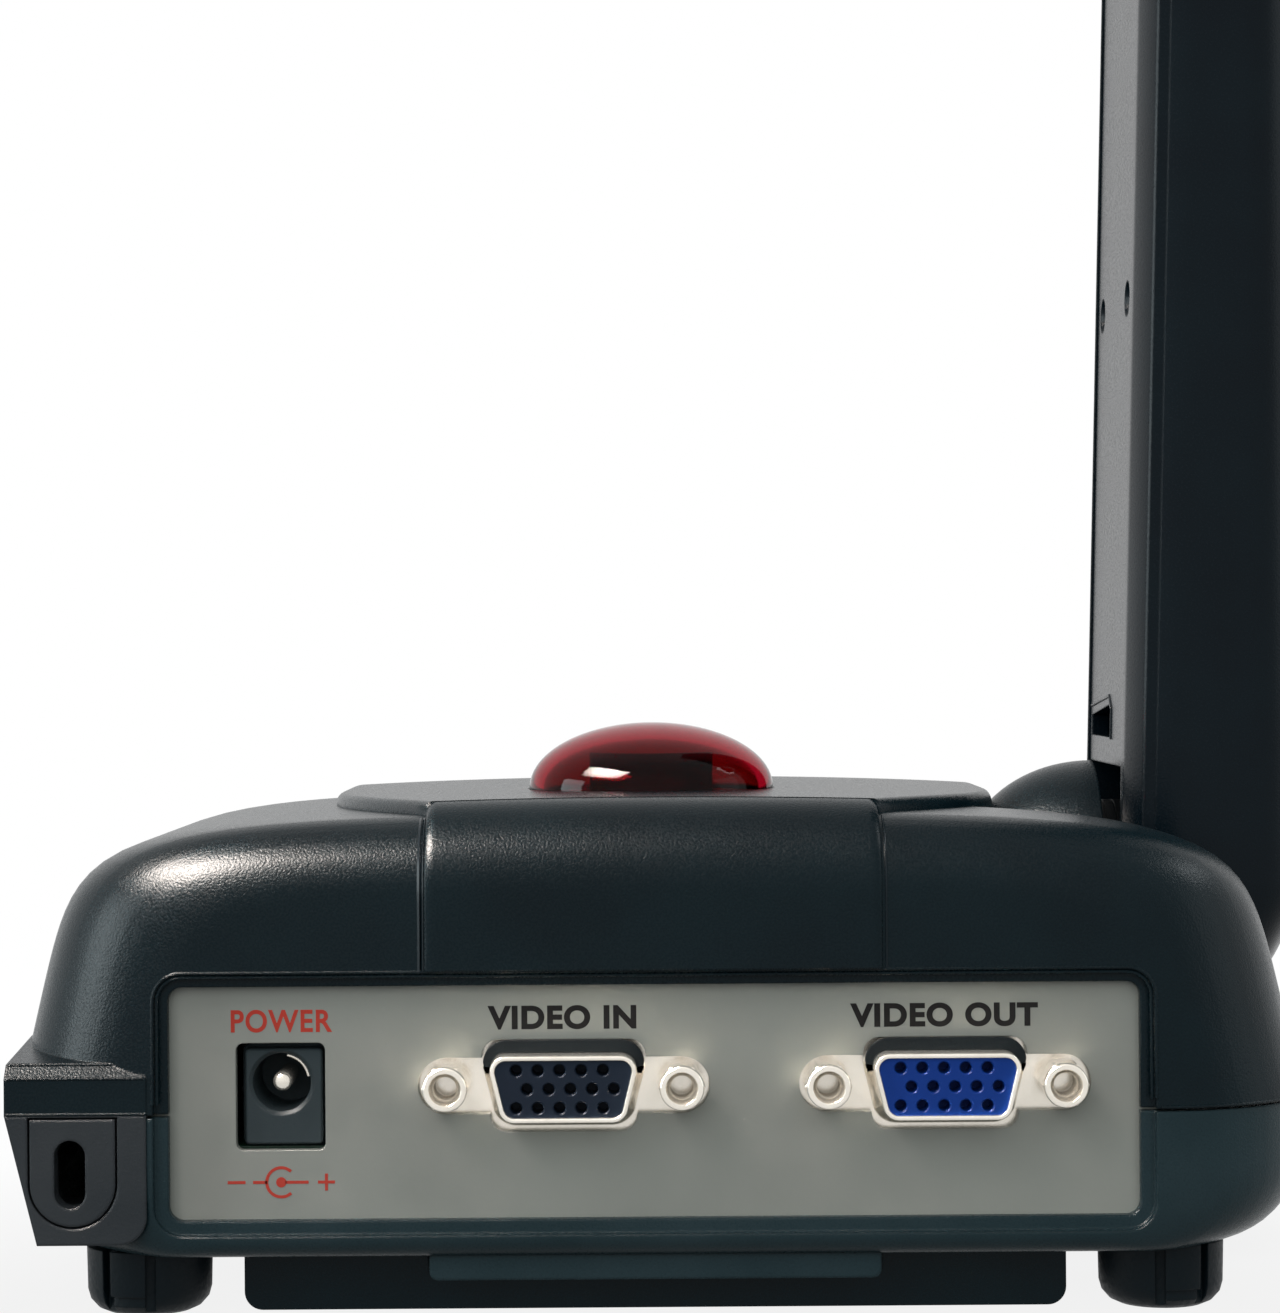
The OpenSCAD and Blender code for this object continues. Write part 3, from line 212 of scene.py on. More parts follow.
def new_finish(name):
    """A material that joins the looks: its node tree and its Principled shader."""
    made = bpy.data.materials.new(name)
    made.use_nodes = True
    looks[name] = made
    return made.node_tree, made.node_tree.nodes["Principled BSDF"]


def grain_noise(tree, size_mm, detail=2.0):
    """Noise in object space whose features measure about size_mm."""
    place = add_node(tree, "TexCoord").outputs["Object"]
    noise = add_node(tree, "TexNoise", {"Vector": place, "Scale": 1 / (size_mm * MM), "Detail": detail})
    return noise.outputs["Fac"]


def spread(tree, factor, low, high):
    """A number that runs from low to high with a noise factor."""
    ends = {"Value": factor, "From Min": 0.3, "From Max": 0.7, "To Min": low, "To Max": high}
    return add_node(tree, "MapRange", ends).outputs[0]


def rough_skin(tree, height, depth_mm, edge_mm):
    """Normals with a bump of a given depth that are rounded at the edges."""
    edge = add_node(tree, "Bevel", {"Radius": edge_mm * MM}, samples=4)
    bump = add_node(tree, "Bump", {"Height": height, "Distance": depth_mm * MM, "Strength": 1.0,
                                   "Normal": edge.outputs[0]})
    return bump.outputs[0]


def moulded_plastic(name, dark, light, gloss, grain_mm, depth_mm, edge_mm):
    """Grained plastic: tone from slow noise, gloss and bump from the fine grain."""
    tree, shader = new_finish(name)
    grain = grain_noise(tree, grain_mm)
    feed(tree, shader, {"Base Color": two_tone(tree, grain_noise(tree, 14, 4), dark, light),
                        "Roughness": spread(tree, grain, *gloss), "IOR": plastic_index,
                        "Normal": rough_skin(tree, grain, depth_mm, edge_mm)})


# Dark tone, light tone, gloss, and in millimetres the grain, its depth and the round of the edges.
plastics = {
    "case_plastic": ((0.0006, 0.0054, 0.008), (0.0014, 0.0082, 0.0114), (0.22, 0.34), 0.26, 0.044, 0.35),
    "arm_plastic": ((0.0005, 0.0034, 0.006), (0.001, 0.0052, 0.0082), (0.2, 0.3), 0.26, 0.024, 0.35),
    # The lower tray's tones are lighter than the case's: painted light, standing for light thrown up from
    # the floor.
    "lower_plastic_painted_floor_light": ((0.010, 0.024, 0.029), (0.016, 0.032, 0.038), (0.24, 0.36), 0.26, 0.034, 0.5),
    # The seams' tones are lighter than the case's: a painted highlight along the seam lines. Their lower
    # roughness is real.
    "seam_plastic_painted_highlight": ((0.004, 0.009, 0.012), (0.007, 0.013, 0.017), (0.18, 0.26), 0.15, 0.004, 0.02),
    # The lock's lighter grey is partly its own tone and partly painted light from the floor.
    "lock_plastic_painted_floor_light": ((0.022, 0.027, 0.031), (0.032, 0.037, 0.041), (0.28, 0.4), 0.34, 0.03, 0.5),
    "trim_plastic": ((0.0018, 0.0045, 0.006), (0.003, 0.007, 0.009), (0.3, 0.42), 0.25, 0.02, 0.25),
    "socket_plastic": ((0.003, 0.004, 0.005), (0.006, 0.008, 0.009), (0.28, 0.4), 0.2, 0.012, 0.15),
    "jack_plastic": ((0.020, 0.030, 0.034), (0.030, 0.042, 0.047), (0.35, 0.48), 0.25, 0.02, 0.25),
    "pin_dark_plastic": ((0.007, 0.013, 0.024), (0.011, 0.018, 0.031), (0.3, 0.42), 0.2, 0.01, 0.1),
    "pin_blue_plastic": ((0.004, 0.031, 0.19), (0.006, 0.038, 0.23), (0.26, 0.36), 0.2, 0.01, 0.1),
    "key_plastic": ((0.22, 0.24, 0.25), (0.27, 0.29, 0.30), (0.35, 0.48), 0.25, 0.012, 0.3),
    "foot_rubber": ((0.0012, 0.0036, 0.0052), (0.0022, 0.0052, 0.007), (0.4, 0.55), 0.5, 0.04, 0.3),
    "lamp_diffuser": ((0.62, 0.62, 0.58), (0.72, 0.72, 0.68), (0.3, 0.4), 0.8, 0.03, 0.35),
    "black_ink": ((0.006, 0.006, 0.006), (0.010, 0.010, 0.010), (0.45, 0.6), 0.3, 0.004, 0.02),
    "red_ink": ((0.36, 0.035, 0.022), (0.44, 0.045, 0.03), (0.45, 0.6), 0.3, 0.004, 0.02),
    "white_ink": ((0.60, 0.61, 0.60), (0.66, 0.67, 0.66), (0.45, 0.6), 0.3, 0.004, 0.02),
}
for name, values in plastics.items():
    moulded_plastic(name, *values)
print("plastics, rubber and inks:", len(plastics))

# %% [markdown]
# The rear plate is steel with a satin grey paint. Sprayed paint has a faint orange peel a millimetre
# or two across, and a plate that has been handled is a little duller in patches. The connectors are
# nickel plate, which is warmer than steel and has soft drawn scratches. All are plain Principled
# shaders: the paint is a dielectric, steel is fully metallic, and the nickel stops at about three
# quarters, which gives the dull tone of thin plating.

# %% Metal finishes
def satin_paint(name, dark, light, gloss):
    """Sprayed paint: slow patches of tone and a shallow orange peel."""
    tree, shader = new_finish(name)
    feed(tree, shader, {"Base Color": two_tone(tree, grain_noise(tree, 30, 5), dark, light),
                        "Roughness": spread(tree, grain_noise(tree, 6, 3), *gloss),
                        "Normal": rough_skin(tree, grain_noise(tree, 0.9, 3), 0.012, 0.2)})


def plated_metal(name, dark, light, gloss, scratch_mm, bare):
    """Plated metal: mottled tone, and fine drawn marks as roughness and bump."""
    tree, shader = new_finish(name)
    marks = grain_noise(tree, scratch_mm, 4)
    feed(tree, shader, {"Base Color": two_tone(tree, grain_noise(tree, 2.5, 4), dark, light),
                        "Metallic": bare, "Roughness": spread(tree, marks, *gloss),
                        "Normal": rough_skin(tree, marks, 0.0012, 0.15)})


# Dark tone, light tone, gloss, the size of the marks in millimetres and how metallic it is.
metals = {
    "nickel": ((0.80, 0.755, 0.67), (0.86, 0.815, 0.735), (0.16, 0.24), 0.35, 0.74),
    "bright_steel": ((0.52, 0.52, 0.53), (0.64, 0.64, 0.65), (0.2, 0.36), 0.35, 1),
    "hinge_aluminium": ((0.60, 0.61, 0.62), (0.68, 0.69, 0.70), (0.3, 0.44), 0.5, 1),
    "black_oxide": ((0.012, 0.012, 0.013), (0.022, 0.022, 0.023), (0.4, 0.55), 0.35, 1),
    "black_screw": ((0.05, 0.05, 0.055), (0.09, 0.09, 0.095), (0.3, 0.45), 0.35, 1),
}
for name, values in metals.items():
    plated_metal(name, *values)
satin_paint("panel_paint", (0.165, 0.178, 0.16), (0.20, 0.215, 0.193), (0.42, 0.56))
print("metals:", len(metals))

# %% [markdown]
# The infrared dome is a deep red acrylic that lets the remote control's light through and hides the
# receiver behind it. Light that crosses it is tinted, so it is a transmitting dielectric with a red
# base colour, polished on the outside. The lens and the circuit boards complete the list of finishes.

# %% Clear finishes and boards
def tinted_clear(name, colour, gloss, ior):
    """A transmitting dielectric with the faint waviness of a moulded window."""
    tree, shader = new_finish(name)
    pale = [c * 1.15 for c in colour]
    feed(tree, shader, {"Base Color": two_tone(tree, grain_noise(tree, 5, 2), colour, pale),
                        "Roughness": spread(tree, grain_noise(tree, 3, 2), *gloss),
                        "IOR": ior, "Transmission Weight": 1.0,
                        "Normal": rough_skin(tree, grain_noise(tree, 4, 1), 0.01, 0.1)})


def circuit_board(name):
    """Green solder mask over a faint weave of tracks."""
    tree, shader = new_finish(name)
    tracks = add_node(tree, "TexBrick", {
        "Vector": add_node(tree, "TexCoord").outputs["Object"], "Scale": 260, "Mortar Size": 0.03,
        "Color1": (0.002, 0.018, 0.009, 1), "Color2": (0.003, 0.022, 0.011, 1),
        "Mortar": (0.005, 0.035, 0.017, 1)})
    feed(tree, shader, {"Base Color": tracks.outputs["Color"],
                        "Roughness": spread(tree, grain_noise(tree, 1.5), 0.3, 0.45),
                        "Normal": rough_skin(tree, tracks.outputs["Fac"], 0.02, 0.1)})


tinted_clear("red_acrylic", (0.25, 0.002, 0.010), (0.02, 0.04), 1.18)
tinted_clear("lens_glass", (0.55, 0.6, 0.75), (0.0, 0.03), 1.6)
circuit_board("board_green")
print("looks:", len(looks))

# %% [markdown]
# Most shapes in this lesson come from a few moves. A loft joins a row of outlines, which suits a
# moulded case whose section changes along its length. A prism pulls one outline straight, a lathe
# turns a profile, a tube follows a line, and a carve cuts one solid with another, as a milling cutter
# would. Sharp creases are found by angle, so round parts are smooth and cut edges stay crisp.

# %% Mesh helpers
def solid(mesh):
    """A loose object that holds a mesh, ready to be carved or dressed."""
    made = bpy.data.objects.new("solid", mesh)
    scene.collection.objects.link(made)
    return made


def outward(points, faces, weld=False):
    """Solid of points in millimetres whose faces all look outwards."""
    mesh = bpy.data.meshes.new("shape")
    mesh.from_pydata([Vector(p) * MM for p in points], [], faces)
    work = bmesh.new()
    work.from_mesh(mesh)
    if weld:
        bmesh.ops.remove_doubles(work, verts=work.verts, dist=1e-7)
    bmesh.ops.recalc_face_normals(work, faces=work.faces)
    work.to_mesh(mesh)
    work.free()
    return solid(mesh)


def loft(rings, capped=True):
    """Solid through a row of closed outlines with equal numbers of points."""
    count = len(rings[0])
    faces = []
    for i in range(len(rings) - 1):
        for j in range(count):
            k = (j + 1) % count
            faces.append((i * count + j, i * count + k, (i + 1) * count + k, (i + 1) * count + j))
    if capped:
        faces.append(tuple(reversed(range(count))))
        faces.append(tuple(range((len(rings) - 1) * count, len(rings) * count)))
    return outward([p for ring in rings for p in ring], faces, weld=True)


def carve(target, cutter, operation="DIFFERENCE"):
    """Cut a solid with another and throw the cutter away."""
    change = target.modifiers.new("carve", "BOOLEAN")
    change.operation = operation
    change.solver = "EXACT"
    change.object = cutter
    scene_state = bpy.context.evaluated_depsgraph_get()
    cut = bpy.data.meshes.new_from_object(target.evaluated_get(scene_state))
    target.modifiers.clear()
    target.data = cut
    bpy.data.objects.remove(cutter)
    return target


def dress(made, name, body, look, nodes=(), crease=32):
    """Name a piece, smooth it up to a crease angle, and let it ride a body."""
    made.name = name
    made.data.name = name
    made.data.materials.clear()
    made.data.materials.append(looks[look])
    made.data.polygons.foreach_set("material_index", [0] * len(made.data.polygons))
    made.data.polygons.foreach_set("use_smooth", [True] * len(made.data.polygons))
    made.data.set_sharp_from_angle(angle=math.radians(crease))
    made.data.update()
    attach(made, body)
    if nodes:
        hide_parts(*nodes)
    print(name, "faces:", len(made.data.polygons))


def arc(cx, cy, r, start, end, steps=8):
    """Points on an arc, with angles in degrees."""
    turns = [math.radians(start + (end - start) * k / steps) for k in range(steps + 1)]
    return [(cx + r * math.cos(t), cy + r * math.sin(t)) for t in turns]


def round_rect(cx, cy, w, h, r, steps=8):
    """Outline of a rectangle with round corners."""
    x, y = w / 2 - r, h / 2 - r
    return (arc(cx + x, cy + y, r, 0, 90, steps) + arc(cx - x, cy + y, r, 90, 180, steps)
            + arc(cx - x, cy - y, r, 180, 270, steps) + arc(cx + x, cy - y, r, 270, 360, steps))


def prism_y(outline, y0, y1):
    """Solid of an X-Z outline pulled along Y."""
    return loft([[(x, y, z) for x, z in outline] for y in (y0, y1)])


def prism_z(outline, z0, z1):
    """Solid of an X-Y outline pulled along Z."""
    return loft([[(x, y, z) for x, y in outline] for z in (z0, z1)])


def tube(path, radius, across):
    """Round bead along a path. The across vector fixes how each ring is turned."""
    rings = []
    turns = [2 * math.pi * j / 10 for j in range(10)]
    for k, here in enumerate(path):
        before, after = path[max(k - 1, 0)], path[min(k + 1, len(path) - 1)]
        along = (Vector(after) - Vector(before)).normalized()
        up = along.cross(Vector(across)).normalized()
        side = up.cross(along)
        rings.append([Vector(here) + radius * (side * math.cos(t) + up * math.sin(t)) for t in turns])
    return loft(rings)


def sheet(top, bottom):
    """Closed skin between two grids of points with equal rows and columns."""
    rows, cols = len(top), len(top[0])
    low = rows * cols
    faces = []
    for i in range(rows - 1):
        for j in range(cols - 1):
            a, b, c, d = i * cols + j, i * cols + j + 1, (i + 1) * cols + j + 1, (i + 1) * cols + j
            faces += [(a, b, c, d), (low + d, low + c, low + b, low + a)]
    rim = ([(0, j) for j in range(cols)] + [(i, cols - 1) for i in range(1, rows)]
           + [(rows - 1, j) for j in range(cols - 2, -1, -1)] + [(i, 0) for i in range(rows - 2, 0, -1)])
    for k, (i, j) in enumerate(rim):
        m, n = rim[(k + 1) % len(rim)]
        faces.append((i * cols + j, low + i * cols + j, low + m * cols + n, m * cols + n))
    return outward([p for grid in (top, bottom) for row in grid for p in row], faces)


def merge(*objects):
    """One solid that holds the meshes of several."""
    work = bmesh.new()
    for made in objects:
        work.from_mesh(made.data)
    mesh = bpy.data.meshes.new("merged")
    work.to_mesh(mesh)
    work.free()
    for made in objects:
        bpy.data.objects.remove(made)
    return solid(mesh)


def lathe(profile, place, axis="Z", steps=64):
    """Solid of revolution: a closed profile of (radius, height) turned about an axis through a place."""
    turned = []
    for k in range(steps):
        a = 2 * math.pi * k / steps
        turned.append([(r * math.cos(a), r * math.sin(a), h) for r, h in profile])
    made = loft(turned + [turned[0]], capped=False)
    tip = {"-Y": "X", "X": "Y"}
    spin = Matrix.Rotation(math.radians(90), 4, tip[axis]) if axis in tip else Matrix()
    made.data.transform(Matrix.Translation(Vector(place) * MM) @ spin)
    return made


print("helpers ready")

# %% [markdown]
# The case is one long moulding in two halves. Seen from behind its section is a low trapezium with
# soft shoulders and a crowned top, and the right side steps in to leave a channel for the arm. A box
# with bevels can't hold such a form. A loft can: each section is a superellipse, whose power sets how
# square the shoulder is, and the height and width of each section follow simple rules along the base.

# %% Outline of the base
base_len = 300
base_w = 140
arm_side_extra = 1.5
split_z = 22.4
case_h = 31.5
clear_z = 7
wall = 2.5
side_draft = math.tan(math.radians(12))
crown = 2.8
shoulder_power = 8
plan_r = 18
rear_r = 8
front_plan_r = 26
front_r = 12
belly_r = 9
heel_r = 2.6
toe_r = 6
split_step = 0.5
crest_y = -80
crest_blend = 20
top_angle = math.radians(4)
top_slope = math.tan(top_angle)
channel_back = 32
channel_depth = 16
channel_r = 4
channel_run = 0.5
y_rear = -base_len / 2
y_front = base_len / 2
half_w = base_w / 2
case_top_z = split_z + case_h


def end_inset(d, r):
    """How far a rounded end of radius r draws in at a distance d from the end."""
    return 0 if d >= r else r - math.sqrt(r * r - (r - max(d, 0)) ** 2)


def plan_inset(y, g):
    """Inset of the plan outline at both ends of the base, grown by g."""
    return end_inset(y - y_rear + g, plan_r + g) + end_inset(y_front + g - y, front_plan_r + g)


def channel_half(y, g):
    """Half width on the right, which steps in for the arm channel with round corners."""
    start = y_rear + channel_back + g
    wide = half_w + arm_side_extra + g
    slim = half_w + g - channel_depth
    foot = start + channel_run + channel_r
    if y <= start - channel_r:
        return wide
    if y <= start:
        return wide - channel_r + math.sqrt(channel_r ** 2 - (y - start + channel_r) ** 2)
    if y < foot:
        return slim + channel_r - math.sqrt(channel_r ** 2 - min(foot - y, channel_r) ** 2)
    return slim


def top_drop(y):
    """Fall of the top: level at the rear, then a soft bend into a slope."""
    d = y - crest_y
    if d <= 0:
        return 0
    return top_slope * (d * d / (2 * crest_blend) if d < crest_blend else d - crest_blend / 2)


def case_top(y, g):
    """Height of the top of the case, grown by g, rounded at both ends."""
    return (case_top_z + g - top_drop(y) - end_inset(y - y_rear + g, rear_r + g)
            - end_inset(y_front + g - y, front_r + g))


def case_bottom(y, g):
    """Height of the belly, grown by g."""
    return clear_z - g + end_inset(y - y_rear + g, heel_r + g) + end_inset(y_front + g - y, toe_r + g)


def sections(g):
    """Places of the sections: close together on every round, 5 mm apart between."""
    places = {round(y_rear + 5 * k, 3) for k in range(1, 60)}
    for k in range(13):
        turn = math.radians(7.5 * k)
        bend = 1 - math.cos(turn)
        step = y_rear + channel_back + g
        places |= {y_rear - g + (plan_r + g) * bend, y_rear - g + (rear_r + g) * bend,
                   y_front + g - (front_plan_r + g) * bend, y_front + g - (front_r + g) * bend,
                   step - channel_r * (1 - math.sin(turn)), step + channel_run + channel_r * bend}
    kept = []
    for y in sorted(places):
        if y < y_rear - g - 1e-6 or y > y_front + g + 1e-6:
            continue
        if not kept or y - kept[-1] > 0.04:
            kept.append(y)
    kept[-1] = y_front + g
    return kept


def upper_ring(y, g, foot=None):
    """One section of the upper case, from the right foot over the top to the left foot."""
    ring = []
    for k in range(97):
        turn = math.pi * k / 96
        cos, sin = math.cos(turn), math.sin(turn)
        reach = (abs(cos) ** shoulder_power + abs(sin) ** shoulder_power) ** (-1 / shoulder_power)
        rise = max(case_top(y, g) - split_z, 1) * min(sin * reach, 1)
        side = channel_half(y, g) if turn <= math.pi / 2 else half_w + g
        x = (side - plan_inset(y, g) - rise * side_draft) * max(min(cos * reach, 1), -1)
        ring.append((x, y, split_z + rise - crown * (x / half_w) ** 2 * rise / case_h))
    if foot is not None:
        ring += [(ring[-1][0], y, foot), (ring[0][0], y, foot)]
    return ring


def lower_ring(y, g, top):
    """One section of the lower case: upright sides and round lower edges."""
    r = belly_r + g
    z = case_bottom(y, g) + r
    right = channel_half(y, g) - plan_inset(y, g) - split_step
    left = half_w + g - plan_inset(y, g) - split_step
    outline = ([(-left, top)] + arc(-left + r, z, r, 180, 270, 12)
               + arc(right - r, z, r, 270, 360, 12) + [(right, top)])
    return [(x, y, z) for x, z in outline]


def upper_solid(g, foot=None):
    """The upper half of the base as one solid, grown by g."""
    return loft([upper_ring(y, g, foot) for y in sections(g)])


def lower_solid(g, top):
    """The lower half of the base as one solid, grown by g, up to a height."""
    return loft([lower_ring(y, g, top) for y in sections(g)])


print("sections along the base:", len(sections(0)))

# %% [markdown]
# The upper case is the outer loft less the same loft drawn 2.5 mm inwards, so it is a true shell. Its
# rear wall has a window with a recessed lip for the connector plate, the top has an opening for the
# control panel, the left rear corner carries a ledge over the lock, and an oval boss on the right
# holds the arm's hinge.

# %% Upper case
panel_w = 103
panel_z0 = 11
panel_z1 = 35.8
panel_lip = 1.5
panel_mid = (panel_z0 + panel_z1) / 2
panel_y = y_rear + wall
lip_r = 3
lip_deep = 1.2
keys_w = 64
keys_len = 118
keys_y = 36
keys_place = (Matrix.Translation(Vector((0, keys_y, case_top_z - top_drop(keys_y))) * MM)
              @ Matrix.Rotation(-top_angle, 4, "X"))
seat_margin = 2.2
seat_z0 = 9


def cut_panel_window(target):
    """Recessed lip and window of the rear plate."""
    high = panel_z1 - panel_z0
    lip = round_rect(0, panel_mid, panel_w + 2 * panel_lip, high + 2 * panel_lip, lip_r)
    window = round_rect(0, panel_mid, panel_w, high, lip_r - panel_lip)
    x, z = panel_w / 2 + seat_margin, panel_z1 + seat_margin
    carve(target, prism_y(lip, y_rear - 2, y_rear + lip_deep))
    carve(target, prism_y(window, y_rear, y_rear + wall + 1))
    carve(target, prism_y([(-x, seat_z0), (x, seat_z0), (x, z), (-x, z)], panel_y, panel_y + 2.5))


def keys_box(grow, z0, z1):
    """Round-cornered block on the sloping place of the control panel."""
    made = prism_z(round_rect(0, 0, keys_w + 2 * grow, keys_len + 2 * grow, 6), z0, z1)
    made.data.transform(keys_place)
    return made


lock_w = 15
lock_x1 = -half_w + plan_r - 1.7
lock_x0 = lock_x1 - lock_w
lock_top = 27.7
lock_fall = 1.4
hinge_y = -88
hinge_z = 44
channel_x = half_w - channel_depth
boss_r = 13.4
boss_len = 16
boss_back = 14.5


def boss_solid():
    """Oval dome round the hinge line, cut flat towards the arm."""
    depths = [boss_back * k / 16 for k in range(17)]
    dome = [(boss_r * math.sqrt(1 - (d / boss_len) ** 2), -d) for d in depths]
    return lathe([(0, 0)] + dome + [(0, -boss_back)], (channel_x, hinge_y, hinge_z), "X")


upper = upper_solid(0)
ledge = [(y_rear, split_z), (y_rear, lock_top - lock_fall), (y_rear + lock_fall, lock_top),
         (y_rear + plan_r, lock_top + lock_fall), (y_rear + plan_r, split_z)]
carve(upper, loft([[(x, y, z) for y, z in ledge] for x in (lock_x0, lock_x1)]), "UNION")
carve(upper, upper_solid(-wall, foot=split_z - 1))
carve(upper, boss_solid(), "UNION")
cut_panel_window(upper)
carve(upper, keys_box(0.2, -1.5, 8))
carve(upper, keys_box(-3, -8, 8))
dress(upper, "upper_case_shell", "base", "case_plastic", ["upper_case"])

# %% [markdown]
# The lower case is a tray of the same plan, set in by half a millimetre so that the parting line
# shows as a fine shadow. The lock takes its left rear corner.

# %% Lower case
lock_z0 = 8.7
lock_lean = 3.4
lock_r = 3
lock_deep = 14
lock_outline = ([(lock_x0, split_z), (lock_x0 + lock_lean, lock_z0)]
                + arc(lock_x1 - lock_r, lock_z0 + lock_r, lock_r, 270, 360) + [(lock_x1, split_z)])
tab_w = 48
tab_h = 3.4
tab_y = y_rear + 2.2
split_gap = 0.35

lower = lower_solid(0, split_z - split_gap)
carve(lower, lower_solid(-wall, split_z + 1))
tab = round_rect(0, clear_z + 0.8 - tab_h / 2, tab_w, tab_h, 0.9)
carve(lower, prism_y(tab, tab_y, tab_y + 8), "UNION")
cut_panel_window(lower)
carve(lower, prism_y(lock_outline, y_rear - 1, y_rear + lock_deep))
# The tray's plastic is lighter than the upper case's: painted light from the floor below.
dress(lower, "lower_case_tray", "base", "lower_plastic_painted_floor_light", ["lower_case"])

# %% [markdown]
# Four feet carry the base. Each is a rubber boot with two slots and a shallow step between them, and it
# is narrower at the sole, so the edge doesn't curl. The shape is turned first and then cut.

# %% Feet
foot_r = 6.8


def boot(x, y, hand):
    """One foot. The hand tells on which side its slots are."""
    profile = [(0, 0), (4.6, 0), (5.6, 0.45), (6.4, 1.35), (6.7, 2.4), (foot_r, clear_z), (0, clear_z)]
    made = lathe(profile, (x, y, 0))
    turns = sorted((-90 - 36 * hand, -90 + 8 * hand))
    for turn in turns[::hand]:
        c, s = math.cos(math.radians(turn)), math.sin(math.radians(turn))
        slot = ((5.7, -0.55), (8, -0.55), (8, 0.55), (5.7, 0.55))
        slot_line = [(x + c * a - s * b, y + s * a + c * b) for a, b in slot]
        carve(made, prism_z(slot_line, -1, clear_z + 1))
    carve(made, prism_z(arc(x, y, 8, *turns) + arc(x, y, 6.15, *reversed(turns)), -1, 2.2))
    return made


foot_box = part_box("feet")
foot_x = foot_box[1][0] / MM - foot_r
feet = [boot(-foot_x, y_rear + 12, 1), boot(foot_x, y_rear + 12, -1),
        boot(-foot_x + 8, y_front - 22, 1), boot(half_w - channel_depth - 9, y_front - 22, -1)]
dress(merge(*feet), "rubber_feet", "base", "foot_rubber", ["feet", "foot_pads"])

# %% [markdown]
# The deck is a raised skin that starts narrow on the rear face, folds over the ridge and flares out on
# the top. It is the case's own form, grown by 1.5 mm on the top and by half a millimetre on the rear
# face, and trimmed to the deck's plan. Two fine seams run down the rear face beside it.

# %% Deck
deck_rise = 1.5
deck_back_rise = 0.5
deck_rear_w = 48.4
deck_front_w = 82
deck_flare = 48
deck_y0 = y_rear + rear_r - 1
deck_y1 = y_front - 26
deck_nose_r = 24
ir_d = 28.2
ir_y = y_rear + 37
deck_skew = 3.3
deck_round = 1.1


def case_point(x, row, g, channel=True):
    """Point of the skin, grown by g. A row is a height on the rear face, a turn over its edge or a y."""
    kind, value = row
    y = value if kind == "top" else y_rear - g
    if kind == "edge":
        y += (rear_r + g) * (1 - math.cos(value))
    rise = case_top(y, g) - split_z
    side = channel_half(y, g) if channel and x > 0 else half_w + g
    side -= plan_inset(y, g) + rise * side_draft
    rise *= (1 - (abs(x) / side) ** shoulder_power) ** (1 / shoulder_power)
    z = split_z + rise - crown * (x / half_w) ** 2 * rise / case_h
    return Vector((x, y, value if kind == "face" else z))


def deck_half(y, skew):
    """Half width of the deck: straight on the rear face, flaring on top, round at the nose."""
    half = deck_front_w / 2 - skew
    t = min(max((y - deck_y0) / deck_flare, 0), 1)
    wide = deck_rear_w / 2 + (half - deck_rear_w / 2) * math.sin(math.pi / 2 * t)
    over = max(y - deck_y1 + deck_nose_r, 0)
    return wide - deck_nose_r + math.sqrt(deck_nose_r ** 2 - over ** 2)


def step_share(d):
    """Share of the deck's rise at a distance from its edge: a short wall, then a quarter round."""
    return 0.25 + 0.75 * math.sqrt(1 - (1 - min(d / deck_round, 1)) ** 2)


near_edge = [0, 0.04, 0.12, 0.25, 0.42, 0.65, 0.9, 1.15]
deck_z0 = panel_z1 + panel_lip + 0.1
face_top = case_top_z - rear_r
rows = [("face", deck_z0 + (face_top - deck_z0) * k / 6) for k in range(6)]
rows += [("edge", math.radians(5 * k)) for k in range(18)]
run = [y_rear + rear_r + 2.5 * k for k in range(200)]
rows += [("top", y) for y in run if y < deck_y1 - 2] + [("top", deck_y1 - d) for d in reversed(near_edge)]
deck_top, deck_under = [], []
for row in rows:
    y = case_point(0, row, 0).y
    left, right = deck_half(y, deck_skew), deck_half(y, 0)
    gaps = [left + right - d for d in reversed(near_edge)]
    inner = [near_edge[-1] + (left + right - 2 * near_edge[-1]) * k / 40 for k in range(1, 40)]
    top_row, under_row = [], []
    for d in near_edge + inner + gaps:
        x = d - left
        low = case_point(x, row, 0)
        high = case_point(x, row, deck_rise, channel=False) + Vector((0, deck_rise - deck_back_rise, 0))
        if row[0] == "top":
            high.y = low.y
        share = step_share(min(d, left + right - d, deck_y1 - y))
        top_row.append(low.lerp(high, share))
        under_row.append(low.lerp(high, -0.1))
    deck_top.append(top_row)
    deck_under.append(under_row)
deck = sheet(deck_top, deck_under)
carve(deck, boss_solid())
carve(deck, keys_box(0.2, -5, 8))
carve(deck, lathe([(0, -40), (ir_d / 2 + 0.2, -40), (ir_d / 2 + 0.2, 20), (0, 20)], (0, ir_y, case_top_z)))
dress(deck, "deck_skin", "base", "case_plastic", ["top_deck"])

seam_rows = [row for row in rows if row[0] == "face" or (row[0] == "edge" and row[1] < 1.35)]
seam_x = deck_rear_w / 2 + 0.42
tooth = [(-0.32, -0.1), (-0.32, 0), (-0.06, 0.2), (-0.02, 0), (0.06, 0), (0.32, 0.2), (0.36, -0.1)]
left_seam = loft([[case_point(x - seam_x, row, out) for x, out in tooth] for row in seam_rows])
right_seam = tube([case_point(seam_x, row, 0) for row in seam_rows], 0.14, (1, 0, 0))
# The seams' plastic is lighter than the case's, which paints a highlight along them.
dress(merge(left_seam, right_seam), "deck_seams", "base", "seam_plastic_painted_highlight")

# %% [markdown]
# Thin beads stand where the mould halves meet and round the window of the plate. On the real case they
# are hardly a quarter of a millimetre high, but each one catches the light as a bright line, and those
# lines are what make the seams readable. A ray cast on the plain case finds the skin under each bead.

